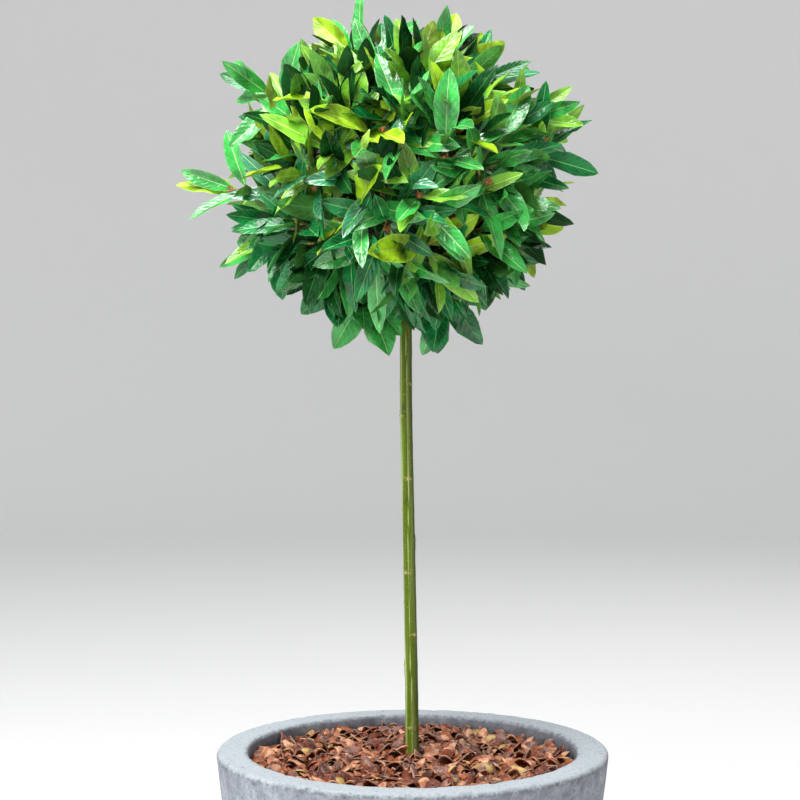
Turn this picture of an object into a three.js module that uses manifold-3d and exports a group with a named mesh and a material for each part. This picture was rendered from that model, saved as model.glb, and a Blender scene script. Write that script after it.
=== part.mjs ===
// Standard bay tree (Laurus nobilis): a clear green stem with a clipped ball head, planted in a round
// concrete pot whose compost is covered with cocoa-shell mulch.
// Millimetres, +Z up. The origin is the centre of the pot's flat underside. +X is right, -Y is front.
import * as THREE from "three";
import { mergeVertices } from "three/addons/utils/BufferGeometryUtils.js";
import Module from "manifold-3d";

const wasm = await Module();
wasm.setup();

// ---- driving dimensions ----
const clearance = 0.3; // between neighbouring solids
const cutClearance = 0.55; // the same, allowing for the flats of a many-sided cutter
const weld = 0.001; // edges finer than this are merged where solids are joined
const sliver = 0.0004; // a leaf whose joint would leave a triangle flatter than this is left out

const pot = {
  height: 350,
  rimRadius: 200,
  footRadius: 160,
  rimWall: 32, // wall thickness at the rim
  footWall: 24, // wall thickness above the floor
  floor: 28,
  outerRound: 9, // radius of the rim's outer edge
  innerRound: 4, // radius of the rim's inner edge
  footRound: 4,
  segments: 40,
  drainRadius: 9,
  drainCircle: 70,
  drains: 4,
};

const bed = {
  soilTop: 318,
  mulchAtWall: 334,
  mulchAtStem: 342,
  mulchSunk: 2, // the layer's own top below its mean height, so that the shells stand out of it
  mulchInset: 1.5, // gap to the pot's wall
  shellInset: 14, // from the wall to the centre of the outermost shells
  shells: 30,
  shellLength: 24,
  shellWidth: 17,
  shellDepth: 8,
  shellLift: 0.5,
  shellSlant: 0.9, // radians, at most half of it either way
  seed: 1914,
};

// The stem's centre line: a slight lean to the left with a shallow sway.
const stemLine = [
  [0, 0, bed.soilTop + clearance],
  [-0.8, 0.6, 403],
  [-3.3, 1.4, 538],
  [-6.6, -0.8, 700],
  [-7.2, -1.2, 790],
  [-10.5, 0.4, 860],
  [-14, 0, 992],
].map((p) => new THREE.Vector3(...p));

// Stem radius against height: root flare, long clear stem, then the steps down through the fork.
const stemRadii = [
  [318, 9.2],
  [330, 7.6],
  [346, 6.8],
  [550, 6.2],
  [790, 5.9],
  [850, 5.6],
  [885, 4.6],
  [915, 3.6],
  [992, 2.6],
];

// Old leaf scars up the clear stem, each on a slight ring of swelling.
const scar = {
  count: 13,
  lowest: 372,
  spacing: 32,
  first: 262, // degrees round the stem from +X
  turn: 137.5,
  width: 3.4, // half sizes of the ridge
  rise: 2.7,
  depth: 2.2,
  proud: 1.5, // how far the ridge stands out of the stem
  swelling: 0.4,
};
const stemSides = 8;

const crown = {
  centre: new THREE.Vector3(-14, 0, 932),
  across: 178, // leaf-tip radius, level
  up: 160, // leaf-tip radius, vertical
  unevenness: 0.06, // share by which a shoot's reach varies
  scatter: 0.06, // and by which its direction does
  limbReach: 64, // boughs end here, measured from the centre
  coreInner: 70,
  coreShare: 0.57, // the dense core reaches this share of the way to the leaf tips
  coreSpread: 78, // half width of the core, across its mass's heading
  coreMargin: 2, // from the core to the border of its mass's space
  stemSleeve: 9, // kept free round the stem by the cores
  groupSize: 3.5, // shoots to a branchlet, on average
  rise: 0.4, // how far the tufts of leaves turn up to the light
  riseFrom: -0.75, // height of a shoot's direction at which that begins
  riseTo: 0, // and at which it is full
  frontRadius: 122, // from the crown's centre to the tips of the shoots that face the front
  shoots: 100,
  seed: 1907,
};

// The longest shoots on the outline, by angle in the front plane from +X, and how far their leaves reach.
const longShoots = [
  { angle: 13, reach: 208 },
  { angle: 24, reach: 203 },
  { angle: 48, reach: 187 },
  { angle: 70, reach: 177 },
  { angle: 111, reach: 190 },
  { angle: 148, reach: 216 },
  { angle: 184, reach: 226 },
  { angle: 205, reach: 203 },
  { angle: 257, reach: 188 },
  { angle: 288, reach: 192 },
  { angle: 327, reach: 176 },
];

// Shoots that face the front: their tips' places across and up from the crown's centre.
const frontShoots = [
  [-94, 0],
  [-19, 42],
  [22, -20],
  [60, -91],
  [96, -65],
];

const bough = { rootRadius: 3.8, tipRadius: 2.5, collar: 0.6, rise: 12, sides: 6, steps: 5 };

const twig = {
  stemRadius: 2.4,
  forkAt: 76, // distances from the crown's centre
  nodeAt: 85,
  tipInside: 48, // the shoot's tip, short of its leaves' reach
  collar: 4, // the stem's first stretch, in line with its bough
  forkRadius: 1.9,
  nodeRadius: 1.8,
  tipRadius: 1.7,
  knuckle: 4, // half width of the joint where shoots part
};

const leaf = {
  length: 62,
  shortest: 0.86, // share of that length
  longest: 1.1,
  width: 24,
  thickness: 1.4,
  perShoot: 3,
  firstTilt: 22, // degrees off the shoot, for the leaf nearest its tip
  tiltStep: 21,
  tiltSpread: 8,
  longTilt: 3, // for the first leaf of a long shoot, which points straight out
  below: 2, // the first leaf's root, below the shoot's tip
  spacing: 6, // along the shoot
  fold: 0.13, // how far the edges rise, as a share of the width
  droop: 0.09, // how far the tip drops, as a share of the length
  stemGap: 1.5,
  shares: [1, 0.84], // of its length, tried until a leaf fits
  nudges: [0, 0.4, -0.4, 0.8, -0.8, 1.2, -1.2, 1.7, -1.7, 2.3, -2.3], // turns tried until a leaf fits
};

// Nine masses of foliage: one on the stem's tip, an upper ring of four and a lower ring of four.
const rings = [
  {
    level: "upper",
    elevation: 20, // degrees of the masses' headings
    turn: 45,
    root: 896, // height at which the lowest of the ring's boughs leaves the stem
    rootStep: 7,
    sides: ["back_right", "back_left", "front_left", "front_right"],
  },
  {
    level: "lower",
    elevation: -30,
    turn: 0,
    root: 858,
    rootStep: 7,
    sides: ["right", "back", "left", "front"],
  },
];

const materials = {
  concrete: new THREE.MeshStandardMaterial({ color: 0xaeb3bb, roughness: 0.85, metalness: 0 }),
  compost: new THREE.MeshStandardMaterial({ color: 0x2c211a, roughness: 1, metalness: 0 }),
  shell: new THREE.MeshStandardMaterial({ color: 0x8f5236, roughness: 0.6, metalness: 0 }),
  bark: new THREE.MeshStandardMaterial({ color: 0x6d8a2c, roughness: 0.55, metalness: 0 }),
  foliage: new THREE.MeshStandardMaterial({ color: 0x1f7a35, roughness: 0.35, metalness: 0 }),
};

// ---- small tools ----
const radians = THREE.MathUtils.degToRad;
const goldenAngle = Math.PI * (3 - Math.sqrt(5));

/** A seeded stream of numbers from 0 to 1. */
function seeded(seed) {
  let state = seed >>> 0;
  return () => {
    state = (state + 0x6d2b79f5) >>> 0;
    let t = state;
    t = Math.imul(t ^ (t >>> 15), t | 1);
    t ^= t + Math.imul(t ^ (t >>> 7), t | 61);
    return ((t ^ (t >>> 14)) >>> 0) / 4294967296;
  };
}

/** Straight-line interpolation in a table of [place, value] rows. */
function along(table, place) {
  const next = table.findIndex((row) => row[0] >= place);
  if (next === 0) return table[0][1];
  if (next < 0) return table[table.length - 1][1];
  const [a, b] = [table[next - 1], table[next]];
  return THREE.MathUtils.mapLinear(place, a[0], b[0], a[1], b[1]);
}

function solidFromArrays(positions, triangles) {
  return new wasm.Manifold(
    new wasm.Mesh({
      numProp: 3,
      vertProperties: new Float32Array(positions),
      triVerts: new Uint32Array(triangles),
    }),
  );
}

/** A closed three.js geometry as a manifold-3d solid. */
function solidFrom(geometry) {
  const bare = new THREE.BufferGeometry();
  bare.setAttribute("position", geometry.getAttribute("position"));
  bare.setIndex(geometry.index);
  const merged = mergeVertices(bare, 1e-4);
  return solidFromArrays(merged.attributes.position.array, merged.index.array);
}

function geometryOf(solid) {
  const raw = solid.getMesh();
  const geometry = new THREE.BufferGeometry();
  const positions = new Float32Array(raw.numVert * 3);
  for (let i = 0; i < raw.numVert; i++) {
    positions.set(raw.vertProperties.subarray(i * raw.numProp, i * raw.numProp + 3), i * 3);
  }
  geometry.setAttribute("position", new THREE.BufferAttribute(positions, 3));
  geometry.setIndex(new THREE.BufferAttribute(raw.triVerts.slice(), 1));
  return geometry;
}

/** A named mesh from a manifold-3d solid. */
function meshOf(name, solid, material) {
  const geometry = geometryOf(solid);
  geometry.computeVertexNormals();
  const mesh = new THREE.Mesh(geometry, material);
  mesh.name = name;
  return mesh;
}

/** The largest body of a solid, welded: a loose scrap is dropped, and a sealed hollow is filled. */
function wholeOf(solid) {
  const larger = (best, body) => (body.volume() > best.volume() ? body : best);
  const largest = (made) => made.decompose().reduce(larger);
  const welded = mergeVertices(geometryOf(largest(solid)), weld);
  return largest(solidFromArrays(welded.attributes.position.array, welded.index.array));
}

function join(solids) {
  return wasm.Manifold.union(solids);
}

/** Least height of any triangle of a solid: a sliver shows here. */
function flattestOf(solid) {
  const { attributes, index } = geometryOf(solid);
  const corner = (i) => new THREE.Vector3().fromBufferAttribute(attributes.position, index.getX(i));
  let flattest = Infinity;
  for (let i = 0; i < index.count; i += 3) {
    const face = new THREE.Triangle(corner(i), corner(i + 1), corner(i + 2));
    const longest = Math.max(face.a.distanceTo(face.b), face.b.distanceTo(face.c), face.c.distanceTo(face.a));
    flattest = Math.min(flattest, (2 * face.getArea()) / longest);
  }
  return flattest;
}

/** Joins leaves to a solid one by one, leaving out a leaf whose joint would leave a sliver. */
function withLeaves(bare, leaves) {
  return leaves.reduce((whole, blade) => {
    const more = wholeOf(whole.add(blade));
    return flattestOf(more) < sliver ? whole : more;
  }, wholeOf(bare));
}

/** A tapering limb: rings of the given radii strung on points, with flat ends. */
function limb(points, radii, sides) {
  const positions = [];
  const triangles = [];
  let side = new THREE.Vector3(1, 0.2, 0.1);
  points.forEach((point, i) => {
    const before = points[Math.max(i - 1, 0)];
    const after = points[Math.min(i + 1, points.length - 1)];
    const tangent = after.clone().sub(before).normalize();
    side = side.clone().addScaledVector(tangent, -side.dot(tangent)).normalize();
    const across = new THREE.Vector3().crossVectors(tangent, side);
    for (let k = 0; k < sides; k++) {
      const angle = (2 * Math.PI * k) / sides;
      const rim = point
        .clone()
        .addScaledVector(side, radii[i] * Math.cos(angle))
        .addScaledVector(across, radii[i] * Math.sin(angle));
      positions.push(rim.x, rim.y, rim.z);
    }
  });
  for (let i = 0; i + 1 < points.length; i++) {
    for (let k = 0; k < sides; k++) {
      const [a, b] = [i * sides + k, i * sides + ((k + 1) % sides)];
      triangles.push(a, b, a + sides, b, b + sides, a + sides);
    }
  }
  const last = (points.length - 1) * sides;
  for (let k = 1; k + 1 < sides; k++) {
    triangles.push(0, k + 1, k, last, last + k, last + k + 1);
  }
  return solidFromArrays(positions, triangles);
}

/** A profile of [radius, height] points turned round the vertical axis. */
function turned(profile, segments) {
  const points = profile.map(([r, z]) => new THREE.Vector2(r, z));
  return solidFrom(new THREE.LatheGeometry(points, segments).rotateX(Math.PI / 2));
}

/** Points of a quarter-round from one angle to another, for a turned profile. */
function roundCorner(centreR, centreZ, radius, fromDegrees, toDegrees, steps) {
  return Array.from({ length: steps + 1 }, (_, i) => {
    const angle = radians(fromDegrees + ((toDegrees - fromDegrees) * i) / steps);
    return [centreR + radius * Math.cos(angle), centreZ + radius * Math.sin(angle)];
  });
}

/** Inside radius of the pot's wall at a height. */
function wallInside(height) {
  const low = [pot.floor, pot.footRadius - pot.footWall];
  const high = [pot.height - pot.innerRound, pot.rimRadius - pot.rimWall];
  return THREE.MathUtils.mapLinear(height, low[0], high[0], low[1], high[1]);
}

// ---- pot, compost and mulch ----
function makePot() {
  const inside = pot.rimRadius - pot.rimWall;
  const profile = [
    [0, 0],
    [pot.footRadius - pot.footRound, 0],
    [pot.footRadius, pot.footRound],
    ...roundCorner(pot.rimRadius - pot.outerRound, pot.height - pot.outerRound, pot.outerRound, 0, 90, 3),
    ...roundCorner(inside + pot.innerRound, pot.height - pot.innerRound, pot.innerRound, 90, 180, 2),
    [wallInside(pot.floor), pot.floor],
    [0, pot.floor],
  ];
  const holes = Array.from({ length: pot.drains }, (_, i) => {
    const angle = (2 * Math.PI * (i + 0.5)) / pot.drains;
    const hole = new THREE.CylinderGeometry(pot.drainRadius, pot.drainRadius, pot.floor * 3, 12);
    hole.rotateX(Math.PI / 2);
    hole.translate(pot.drainCircle * Math.cos(angle), pot.drainCircle * Math.sin(angle), 0);
    return solidFrom(hole);
  });
  return turned(profile, pot.segments).subtract(join(holes));
}

function makeSoil() {
  const low = pot.floor + clearance;
  return turned(
    [
      [0, low],
      [wallInside(low) - clearance, low],
      [wallInside(bed.soilTop) - clearance, bed.soilTop],
      [0, bed.soilTop],
    ],
    pot.segments,
  );
}

/** Height of the mulch's mean surface: heaped a little towards the stem. */
function mulchHeight(radius) {
  const share = Math.min(radius / wallInside(bed.mulchAtWall), 1);
  return THREE.MathUtils.lerp(bed.mulchAtStem, bed.mulchAtWall, share * share);
}

/** One dished piece of cocoa shell, lying at a slant. */
function makeShell(random, angle, radius) {
  const size = 0.75 + 0.5 * random();
  const flake = new THREE.OctahedronGeometry(0.5);
  flake.scale(bed.shellLength * size, bed.shellWidth * size, bed.shellDepth * size);
  flake.rotateX(bed.shellSlant * (random() - 0.5));
  flake.rotateY(bed.shellSlant * (random() - 0.5));
  flake.rotateZ(2 * Math.PI * random());
  flake.translate(radius * Math.cos(angle), radius * Math.sin(angle), mulchHeight(radius) + bed.shellLift);
  return solidFrom(flake);
}

function makeMulch(stemClear) {
  const random = seeded(bed.seed);
  const low = bed.soilTop + clearance;
  const edge = wallInside(bed.mulchAtWall) - bed.mulchInset;
  const steps = 4;
  const surface = Array.from({ length: steps + 1 }, (_, i) => {
    const radius = edge * (1 - i / steps);
    return [radius, mulchHeight(radius) - bed.mulchSunk];
  });
  const layer = turned([[0, low], [wallInside(low) - bed.mulchInset, low], ...surface], 24);
  const shells = Array.from({ length: bed.shells }, (_, i) => {
    const radius = (edge - bed.shellInset) * Math.sqrt((i + 0.5) / bed.shells);
    return makeShell(random, i * goldenAngle, radius);
  });
  return wholeOf(join([layer, ...shells]).subtract(stemClear));
}

// ---- stem and boughs ----
const stemCurve = new THREE.CatmullRomCurve3(stemLine, false, "centripetal");

/** Point on the stem's centre line at a height. */
function stemAt(height) {
  let [low, high] = [0, 1];
  for (let i = 0; i < 40; i++) {
    const middle = (low + high) / 2;
    if (stemCurve.getPoint(middle).z < height) low = middle;
    else high = middle;
  }
  return stemCurve.getPoint(low);
}

/** Heights at which the stem's radius is given, from its flat cut to its tip. */
const stemStations = [bed.soilTop + clearance, ...stemRadii.slice(1).map(([height]) => height)];

/** The stem with extra radius, where it serves to cut its neighbours clear. */
function stemBody(extra, sides) {
  const radii = stemStations.map((height) => along(stemRadii, height) + extra);
  return limb(stemStations.map(stemAt), radii, sides);
}

/** The stem itself: a slight swelling at each old leaf scar, with the scar's ridge standing proud of it. */
function makeStem() {
  const scars = Array.from({ length: scar.count }, (_, i) => scar.lowest + i * scar.spacing);
  const heights = [...stemStations, ...scars].sort((a, b) => a - b);
  const swelling = (height) => (scars.includes(height) ? scar.swelling : 0);
  const radii = heights.map((height) => along(stemRadii, height) + swelling(height));
  const ridges = scars.map((height, i) => {
    const angle = radians(scar.first + i * scar.turn);
    const ridge = new THREE.OctahedronGeometry(1);
    ridge.scale(scar.depth, scar.width, scar.rise).rotateZ(angle);
    const centre = stemAt(height);
    const out = along(stemRadii, height) + scar.proud - scar.depth;
    ridge.translate(centre.x + out * Math.cos(angle), centre.y + out * Math.sin(angle), centre.z);
    return solidFrom(ridge);
  });
  return wholeOf(join([limb(heights.map(stemAt), radii, stemSides), ...ridges]));
}

/** A unit vector from its turn round the vertical and its elevation, in degrees. */
function heading(turn, elevation) {
  const [a, e] = [radians(turn), radians(elevation)];
  return new THREE.Vector3(Math.cos(a) * Math.cos(e), Math.sin(a) * Math.cos(e), Math.sin(e));
}

/** Names and headings of the nine masses; the top one has no bough, as it sits on the stem's tip. */
function plannedMasses() {
  const masses = [{ name: "top", heading: new THREE.Vector3(0, 0, 1) }];
  rings.forEach((ring) => {
    ring.sides.forEach((side, i) => {
      masses.push({
        name: `${ring.level}_${side}`,
        heading: heading(ring.turn + 90 * i, ring.elevation),
        root: ring.root + ((i * 3) % 4) * ring.rootStep,
      });
    });
  });
  return masses;
}

/** Points on a bough's centre line, from the stem's axis up and out to where its mass begins. */
function boughPoints(mass) {
  const start = stemAt(mass.root);
  const end = crown.centre.clone().addScaledVector(mass.heading, crown.limbReach);
  const outward = new THREE.Vector3(mass.heading.x, mass.heading.y, 0).normalize();
  const bend = start.clone().addScaledVector(outward, start.distanceTo(end) * 0.5);
  bend.z += bough.rise;
  return new THREE.QuadraticBezierCurve3(start, bend, end).getPoints(bough.steps);
}

function makeBough(mass, stemClear) {
  const points = boughPoints(mass);
  const radiusAt = (share) => THREE.MathUtils.lerp(bough.rootRadius, bough.tipRadius, share);
  const radii = points.map((_, i) => radiusAt(i / bough.steps));
  radii[0] += bough.collar;
  return wholeOf(limb(points, radii, bough.sides).subtract(stemClear));
}

// ---- foliage ----
/** How far leaf tips reach from the crown's centre along a direction. */
function crownReach(direction) {
  const level = Math.hypot(direction.x, direction.y) / crown.across;
  return 1 / Math.hypot(level, direction.z / crown.up);
}

/** Evenly spread shoots, the nearest turned to each long shoot of the outline, and those of the front. */
function plannedShoots() {
  const random = seeded(crown.seed);
  const shoots = Array.from({ length: crown.shoots }, (_, i) => {
    const z = 1 - (2 * (i + 0.5)) / crown.shoots;
    const level = Math.sqrt(1 - z * z);
    const direction = new THREE.Vector3(
      level * Math.cos(i * goldenAngle) + crown.scatter * (random() - 0.5),
      level * Math.sin(i * goldenAngle) + crown.scatter * (random() - 0.5),
      z + crown.scatter * (random() - 0.5),
    ).normalize();
    const reach = crownReach(direction) * (1 + crown.unevenness * (2 * random() - 1));
    return { index: i, direction, reach, long: false };
  });
  longShoots.forEach(({ angle, reach }) => {
    const direction = new THREE.Vector3(Math.cos(radians(angle)), 0, Math.sin(radians(angle)));
    const nearness = (shoot) => shoot.direction.dot(direction);
    const free = shoots.filter((shoot) => !shoot.long);
    const nearest = free.reduce((a, b) => (nearness(b) > nearness(a) ? b : a));
    Object.assign(nearest, { direction, reach, long: true });
  });
  frontShoots.forEach(([across, rise], i) => {
    const forward = Math.sqrt(crown.frontRadius ** 2 - across ** 2 - rise ** 2);
    const direction = new THREE.Vector3(across, -forward, rise).normalize();
    shoots.push({ index: crown.shoots + i, direction, reach: crownReach(direction), long: false });
  });
  return shoots;
}

/** The way that a shoot's tuft of leaves points: up to the light, except under the head. */
function tuftAxis(shoot, stalk) {
  if (shoot.long) return stalk;
  const share = THREE.MathUtils.smoothstep(shoot.direction.z, crown.riseFrom, crown.riseTo);
  return stalk.clone().addScaledVector(new THREE.Vector3(0, 0, 1), crown.rise * share).normalize();
}

/** The mass whose heading is nearest: each mass keeps the cone of space nearest its own heading. */
function ownerOf(direction, masses) {
  return masses.reduce((a, b) => (b.heading.dot(direction) > a.heading.dot(direction) ? b : a));
}

/** True where a point is inside the mass's own space and clear of the limbs. */
function isFree(point, mass, masses) {
  const offset = point.clone().sub(crown.centre);
  const inCone = masses.every((other) => {
    if (other === mass) return true;
    const border = mass.heading.clone().sub(other.heading).normalize();
    return offset.dot(border) > clearance;
  });
  if (!inCone || offset.length() < crown.coreInner) return false;
  const stem = stemAt(point.z);
  const gap = Math.hypot(point.x - stem.x, point.y - stem.y);
  return point.z > stemLine[stemLine.length - 1].z || gap > along(stemRadii, point.z) + leaf.stemGap;
}

/** Corner points of one leaf: the outline from the root's two ends round by the tip, then the two ridges. */
function leafCorners(root, axis, upper, length) {
  const side = new THREE.Vector3().crossVectors(axis, upper);
  const width = (leaf.width * length) / leaf.length;
  const at = (share, across, lift) =>
    root
      .clone()
      .addScaledVector(axis, share * length)
      .addScaledVector(side, across * width)
      .addScaledVector(upper, lift);
  const fold = leaf.fold * width;
  const drop = leaf.droop * length;
  const half = leaf.thickness / 2;
  return [
    at(0, 0, half),
    at(0, 0, -half),
    at(0.32, 0.4, fold),
    at(0.66, 0.42, fold - drop * 0.3),
    at(1, 0, -drop),
    at(0.66, -0.42, fold - drop * 0.3),
    at(0.32, -0.4, fold),
    at(0.5, 0, half),
    at(0.5, 0, -half),
  ];
}

/** A leaf of fourteen faces: a pointed outline, creased along its midrib, with a thick root to join by. */
function leafSolid(corners) {
  const [rootAbove, rootBelow, above, below] = [0, 1, 7, 8];
  const edge = [2, 3, 4, 5, 6];
  const triangles = [rootAbove, rootBelow, edge[0], rootAbove, edge[4], rootBelow];
  triangles.push(above, rootAbove, edge[0], below, edge[0], rootBelow);
  triangles.push(above, edge[4], rootAbove, below, rootBelow, edge[4]);
  for (let k = 0; k + 1 < edge.length; k++) {
    triangles.push(above, edge[k], edge[k + 1], below, edge[k + 1], edge[k]);
  }
  return solidFromArrays(
    corners.flatMap((p) => [p.x, p.y, p.z]),
    triangles,
  );
}

/** A leaf at the first length and turn at which it keeps to its mass's space and off its neighbours. */
function fittedLeaf({ root, tuft, turn, tilt, length }, mass, masses, neighbours) {
  const level = Math.abs(tuft.z) < 0.9 ? new THREE.Vector3(0, 0, 1) : new THREE.Vector3(1, 0, 0);
  for (const share of leaf.shares) {
    for (const nudge of leaf.nudges) {
      const round = new THREE.Vector3().crossVectors(tuft, level).normalize();
      round.applyAxisAngle(tuft, turn + nudge);
      const axis = tuft.clone().multiplyScalar(Math.cos(tilt)).addScaledVector(round, Math.sin(tilt));
      const upper = tuft.clone().multiplyScalar(Math.sin(tilt)).addScaledVector(round, -Math.cos(tilt));
      const corners = leafCorners(root, axis, upper, length * share);
      if (!corners.every((corner) => isFree(corner, mass, masses))) continue;
      const blade = leafSolid(corners);
      if (!neighbours.some((other) => other.intersect(blade).volume() > 0)) return blade;
    }
  }
  return null;
}

/** The leaves of one shoot, in a spiral from its tip down; a leaf that fits nowhere is left out. */
function shootLeaves({ shoot, tip, stalk }, mass, masses, taken) {
  const random = seeded(crown.seed + 101 * (shoot.index + 1));
  const leaves = [];
  const tuft = tuftAxis(shoot, stalk);
  const start = 2 * Math.PI * random();
  for (let k = 0; k < leaf.perShoot; k++) {
    const root = tip.clone().addScaledVector(stalk, -leaf.below - leaf.spacing * k);
    const turn = start + k * goldenAngle;
    let length = leaf.length * (leaf.shortest + (leaf.longest - leaf.shortest) * random());
    let tilt = radians(leaf.firstTilt + leaf.tiltStep * k + leaf.tiltSpread * (random() - 0.5));
    if (k === 0 && shoot.long) {
      length = shoot.reach - root.distanceTo(crown.centre);
      tilt = radians(leaf.longTilt);
    }
    const blade = fittedLeaf({ root, tuft, turn, tilt, length }, mass, masses, [taken, ...leaves]);
    if (blade) leaves.push(blade);
  }
  return leaves;
}

/** Shoots of a mass in groups of three or four, by their turn round the mass's heading. */
function groupsOf(shoots, mass) {
  const level = Math.abs(mass.heading.z) > 0.9 ? new THREE.Vector3(1, 0, 0) : new THREE.Vector3(0, 0, 1);
  const right = new THREE.Vector3().crossVectors(level, mass.heading).normalize();
  const up = new THREE.Vector3().crossVectors(mass.heading, right);
  const turnOf = (shoot) => Math.atan2(shoot.direction.dot(up), shoot.direction.dot(right));
  const sorted = [...shoots].sort((a, b) => turnOf(a) - turnOf(b));
  const count = Math.max(1, Math.round(sorted.length / crown.groupSize));
  return Array.from({ length: count }, (_, g) =>
    sorted.slice(Math.round((g * sorted.length) / count), Math.round(((g + 1) * sorted.length) / count)),
  );
}

/** The dense inside of a mass: a flattened ball cut back to the mass's own space. */
function makeCore(mass, masses, stemSleeve) {
  const outer = crownReach(mass.heading) * crown.coreShare;
  const ball = new THREE.IcosahedronGeometry(1, 1);
  ball.scale(crown.coreSpread, crown.coreSpread, (outer - crown.coreInner) / 2);
  ball.applyQuaternion(new THREE.Quaternion().setFromUnitVectors(new THREE.Vector3(0, 0, 1), mass.heading));
  const place = crown.centre.clone().addScaledVector(mass.heading, (crown.coreInner + outer) / 2);
  ball.translate(place.x, place.y, place.z);
  const beyond = masses
    .filter((other) => other !== mass)
    .map((other) => {
      const border = mass.heading.clone().sub(other.heading).normalize();
      const size = crown.across * 3;
      const block = new THREE.BoxGeometry(size, size, size);
      block.applyQuaternion(new THREE.Quaternion().setFromUnitVectors(new THREE.Vector3(0, 0, 1), border));
      const middle = crown.centre.clone().addScaledVector(border, crown.coreMargin - size / 2);
      return solidFrom(block.translate(middle.x, middle.y, middle.z));
    });
  return wholeOf(solidFrom(ball).subtract(join(beyond)).subtract(stemSleeve));
}

/** A mass's shoots, group by group: where each branchlet ends, and each shoot's tip and solid. */
function grownShoots(mass, shoots) {
  return groupsOf(shoots, mass).map((group) => {
    const mean = mass.heading.clone().multiplyScalar(0.5);
    group.forEach((shoot) => mean.addScaledVector(shoot.direction, 1 / group.length));
    const node = crown.centre.clone().addScaledVector(mean.normalize(), twig.nodeAt);
    const knuckle = new THREE.OctahedronGeometry(twig.knuckle);
    knuckle.applyQuaternion(new THREE.Quaternion().setFromUnitVectors(new THREE.Vector3(0, 0, 1), mean));
    knuckle.translate(node.x, node.y, node.z);
    const grown = group.map((shoot) => {
      const tip = crown.centre.clone().addScaledVector(shoot.direction, shoot.reach - twig.tipInside);
      const stalk = tip.clone().sub(node).normalize();
      return { shoot, tip, stalk, solid: limb([node, tip], [twig.nodeRadius, twig.tipRadius], 3) };
    });
    return { node, knuckle: solidFrom(knuckle), grown };
  });
}

/** One mass of foliage: stem, branchlets, shoots and leaves round a core, fused into one solid. */
function makeMass(mass, masses, shoots, stemSleeve) {
  const [before, end] = mass.root ? boughPoints(mass).slice(-2) : stemLine.slice(-2);
  const toward = end.clone().sub(before).normalize();
  const foot = end.clone().addScaledVector(toward, clearance);
  const collar = foot.clone().addScaledVector(toward, twig.collar);
  const fork = crown.centre.clone().addScaledVector(mass.heading, twig.forkAt);
  const groups = grownShoots(mass, shoots);
  const wood = [
    limb([foot, collar, fork], [twig.stemRadius, twig.stemRadius, twig.forkRadius], 5),
    ...groups.map(({ node }) => limb([fork, node], [twig.forkRadius, twig.nodeRadius], 3)),
    ...groups.map(({ knuckle }) => knuckle),
  ];
  const core = makeCore(mass, masses, stemSleeve);
  const all = groups.flatMap(({ grown }) => grown);
  const leaves = [];
  all.forEach((one) => {
    const others = all.filter((other) => other !== one).map((other) => other.solid);
    leaves.push(...shootLeaves(one, mass, masses, join([core, ...others, ...leaves])));
  });
  return withLeaves(join([core, ...wood, ...all.map((one) => one.solid)]), leaves);
}

// ---- assembly ----
const masses = plannedMasses();
const shoots = plannedShoots();
const stemClear = stemBody(cutClearance, 12);
const stemSleeve = stemBody(crown.stemSleeve, 12);
const bay = new THREE.Group();
const planter = new THREE.Group();
planter.add(meshOf("pot", makePot(), materials.concrete));
planter.add(meshOf("compost", makeSoil(), materials.compost));
planter.add(meshOf("shell_mulch", makeMulch(stemClear), materials.shell));
bay.add(planter);
const tree = new THREE.Group();
tree.add(meshOf("trunk", makeStem(), materials.bark));
masses.forEach((mass) => {
  if (mass.root) tree.add(meshOf(`bough_${mass.name}`, makeBough(mass, stemClear), materials.bark));
  const own = shoots.filter((shoot) => ownerOf(shoot.direction, masses) === mass);
  tree.add(meshOf(`foliage_${mass.name}`, makeMass(mass, masses, own, stemSleeve), materials.foliage));
});
bay.add(tree);

export default bay;
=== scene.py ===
import math

import bmesh
import bpy
import numpy as np
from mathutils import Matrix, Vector


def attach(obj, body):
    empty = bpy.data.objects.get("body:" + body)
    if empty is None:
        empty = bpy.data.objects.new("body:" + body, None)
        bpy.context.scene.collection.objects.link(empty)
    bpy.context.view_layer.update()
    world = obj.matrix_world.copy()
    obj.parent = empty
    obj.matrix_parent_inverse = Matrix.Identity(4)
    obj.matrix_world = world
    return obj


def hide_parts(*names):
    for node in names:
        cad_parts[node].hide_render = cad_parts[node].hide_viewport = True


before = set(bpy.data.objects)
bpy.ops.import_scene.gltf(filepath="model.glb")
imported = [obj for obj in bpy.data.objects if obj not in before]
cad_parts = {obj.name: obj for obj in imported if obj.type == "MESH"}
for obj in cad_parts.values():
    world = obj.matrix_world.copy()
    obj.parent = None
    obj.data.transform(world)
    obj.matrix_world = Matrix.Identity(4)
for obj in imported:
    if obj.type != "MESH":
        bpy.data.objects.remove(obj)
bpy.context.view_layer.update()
print("frame loaded:", len(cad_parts), "nodes")

mm = 0.001  # the plant is worked out in millimetres and made in metres
goldenAngle = math.pi * (3 - math.sqrt(5))
roughTurn = 6.28  # near enough to a full turn for a random angle
up = np.array([0.0, 0.0, 1.0])


# small sums
def seededStream(seed):
    state = seed & 0xFFFFFFFF

    def draw():
        nonlocal state
        state = (state + 0x6D2B79F5) & 0xFFFFFFFF
        t = state
        t = ((t ^ (t >> 15)) * (t | 1)) & 0xFFFFFFFF
        t = (t ^ (t + (((t ^ (t >> 7)) * (t | 61)) & 0xFFFFFFFF))) & 0xFFFFFFFF
        return (t ^ (t >> 14)) / 4294967296

    return draw


def unit(vector):
    return vector / np.linalg.norm(vector)


def turnedAbout(vector, axis, angle):
    return (
        vector * math.cos(angle)
        + np.cross(axis, vector) * math.sin(angle)
        + axis * np.dot(axis, vector) * (1 - math.cos(angle))
    )


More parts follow.
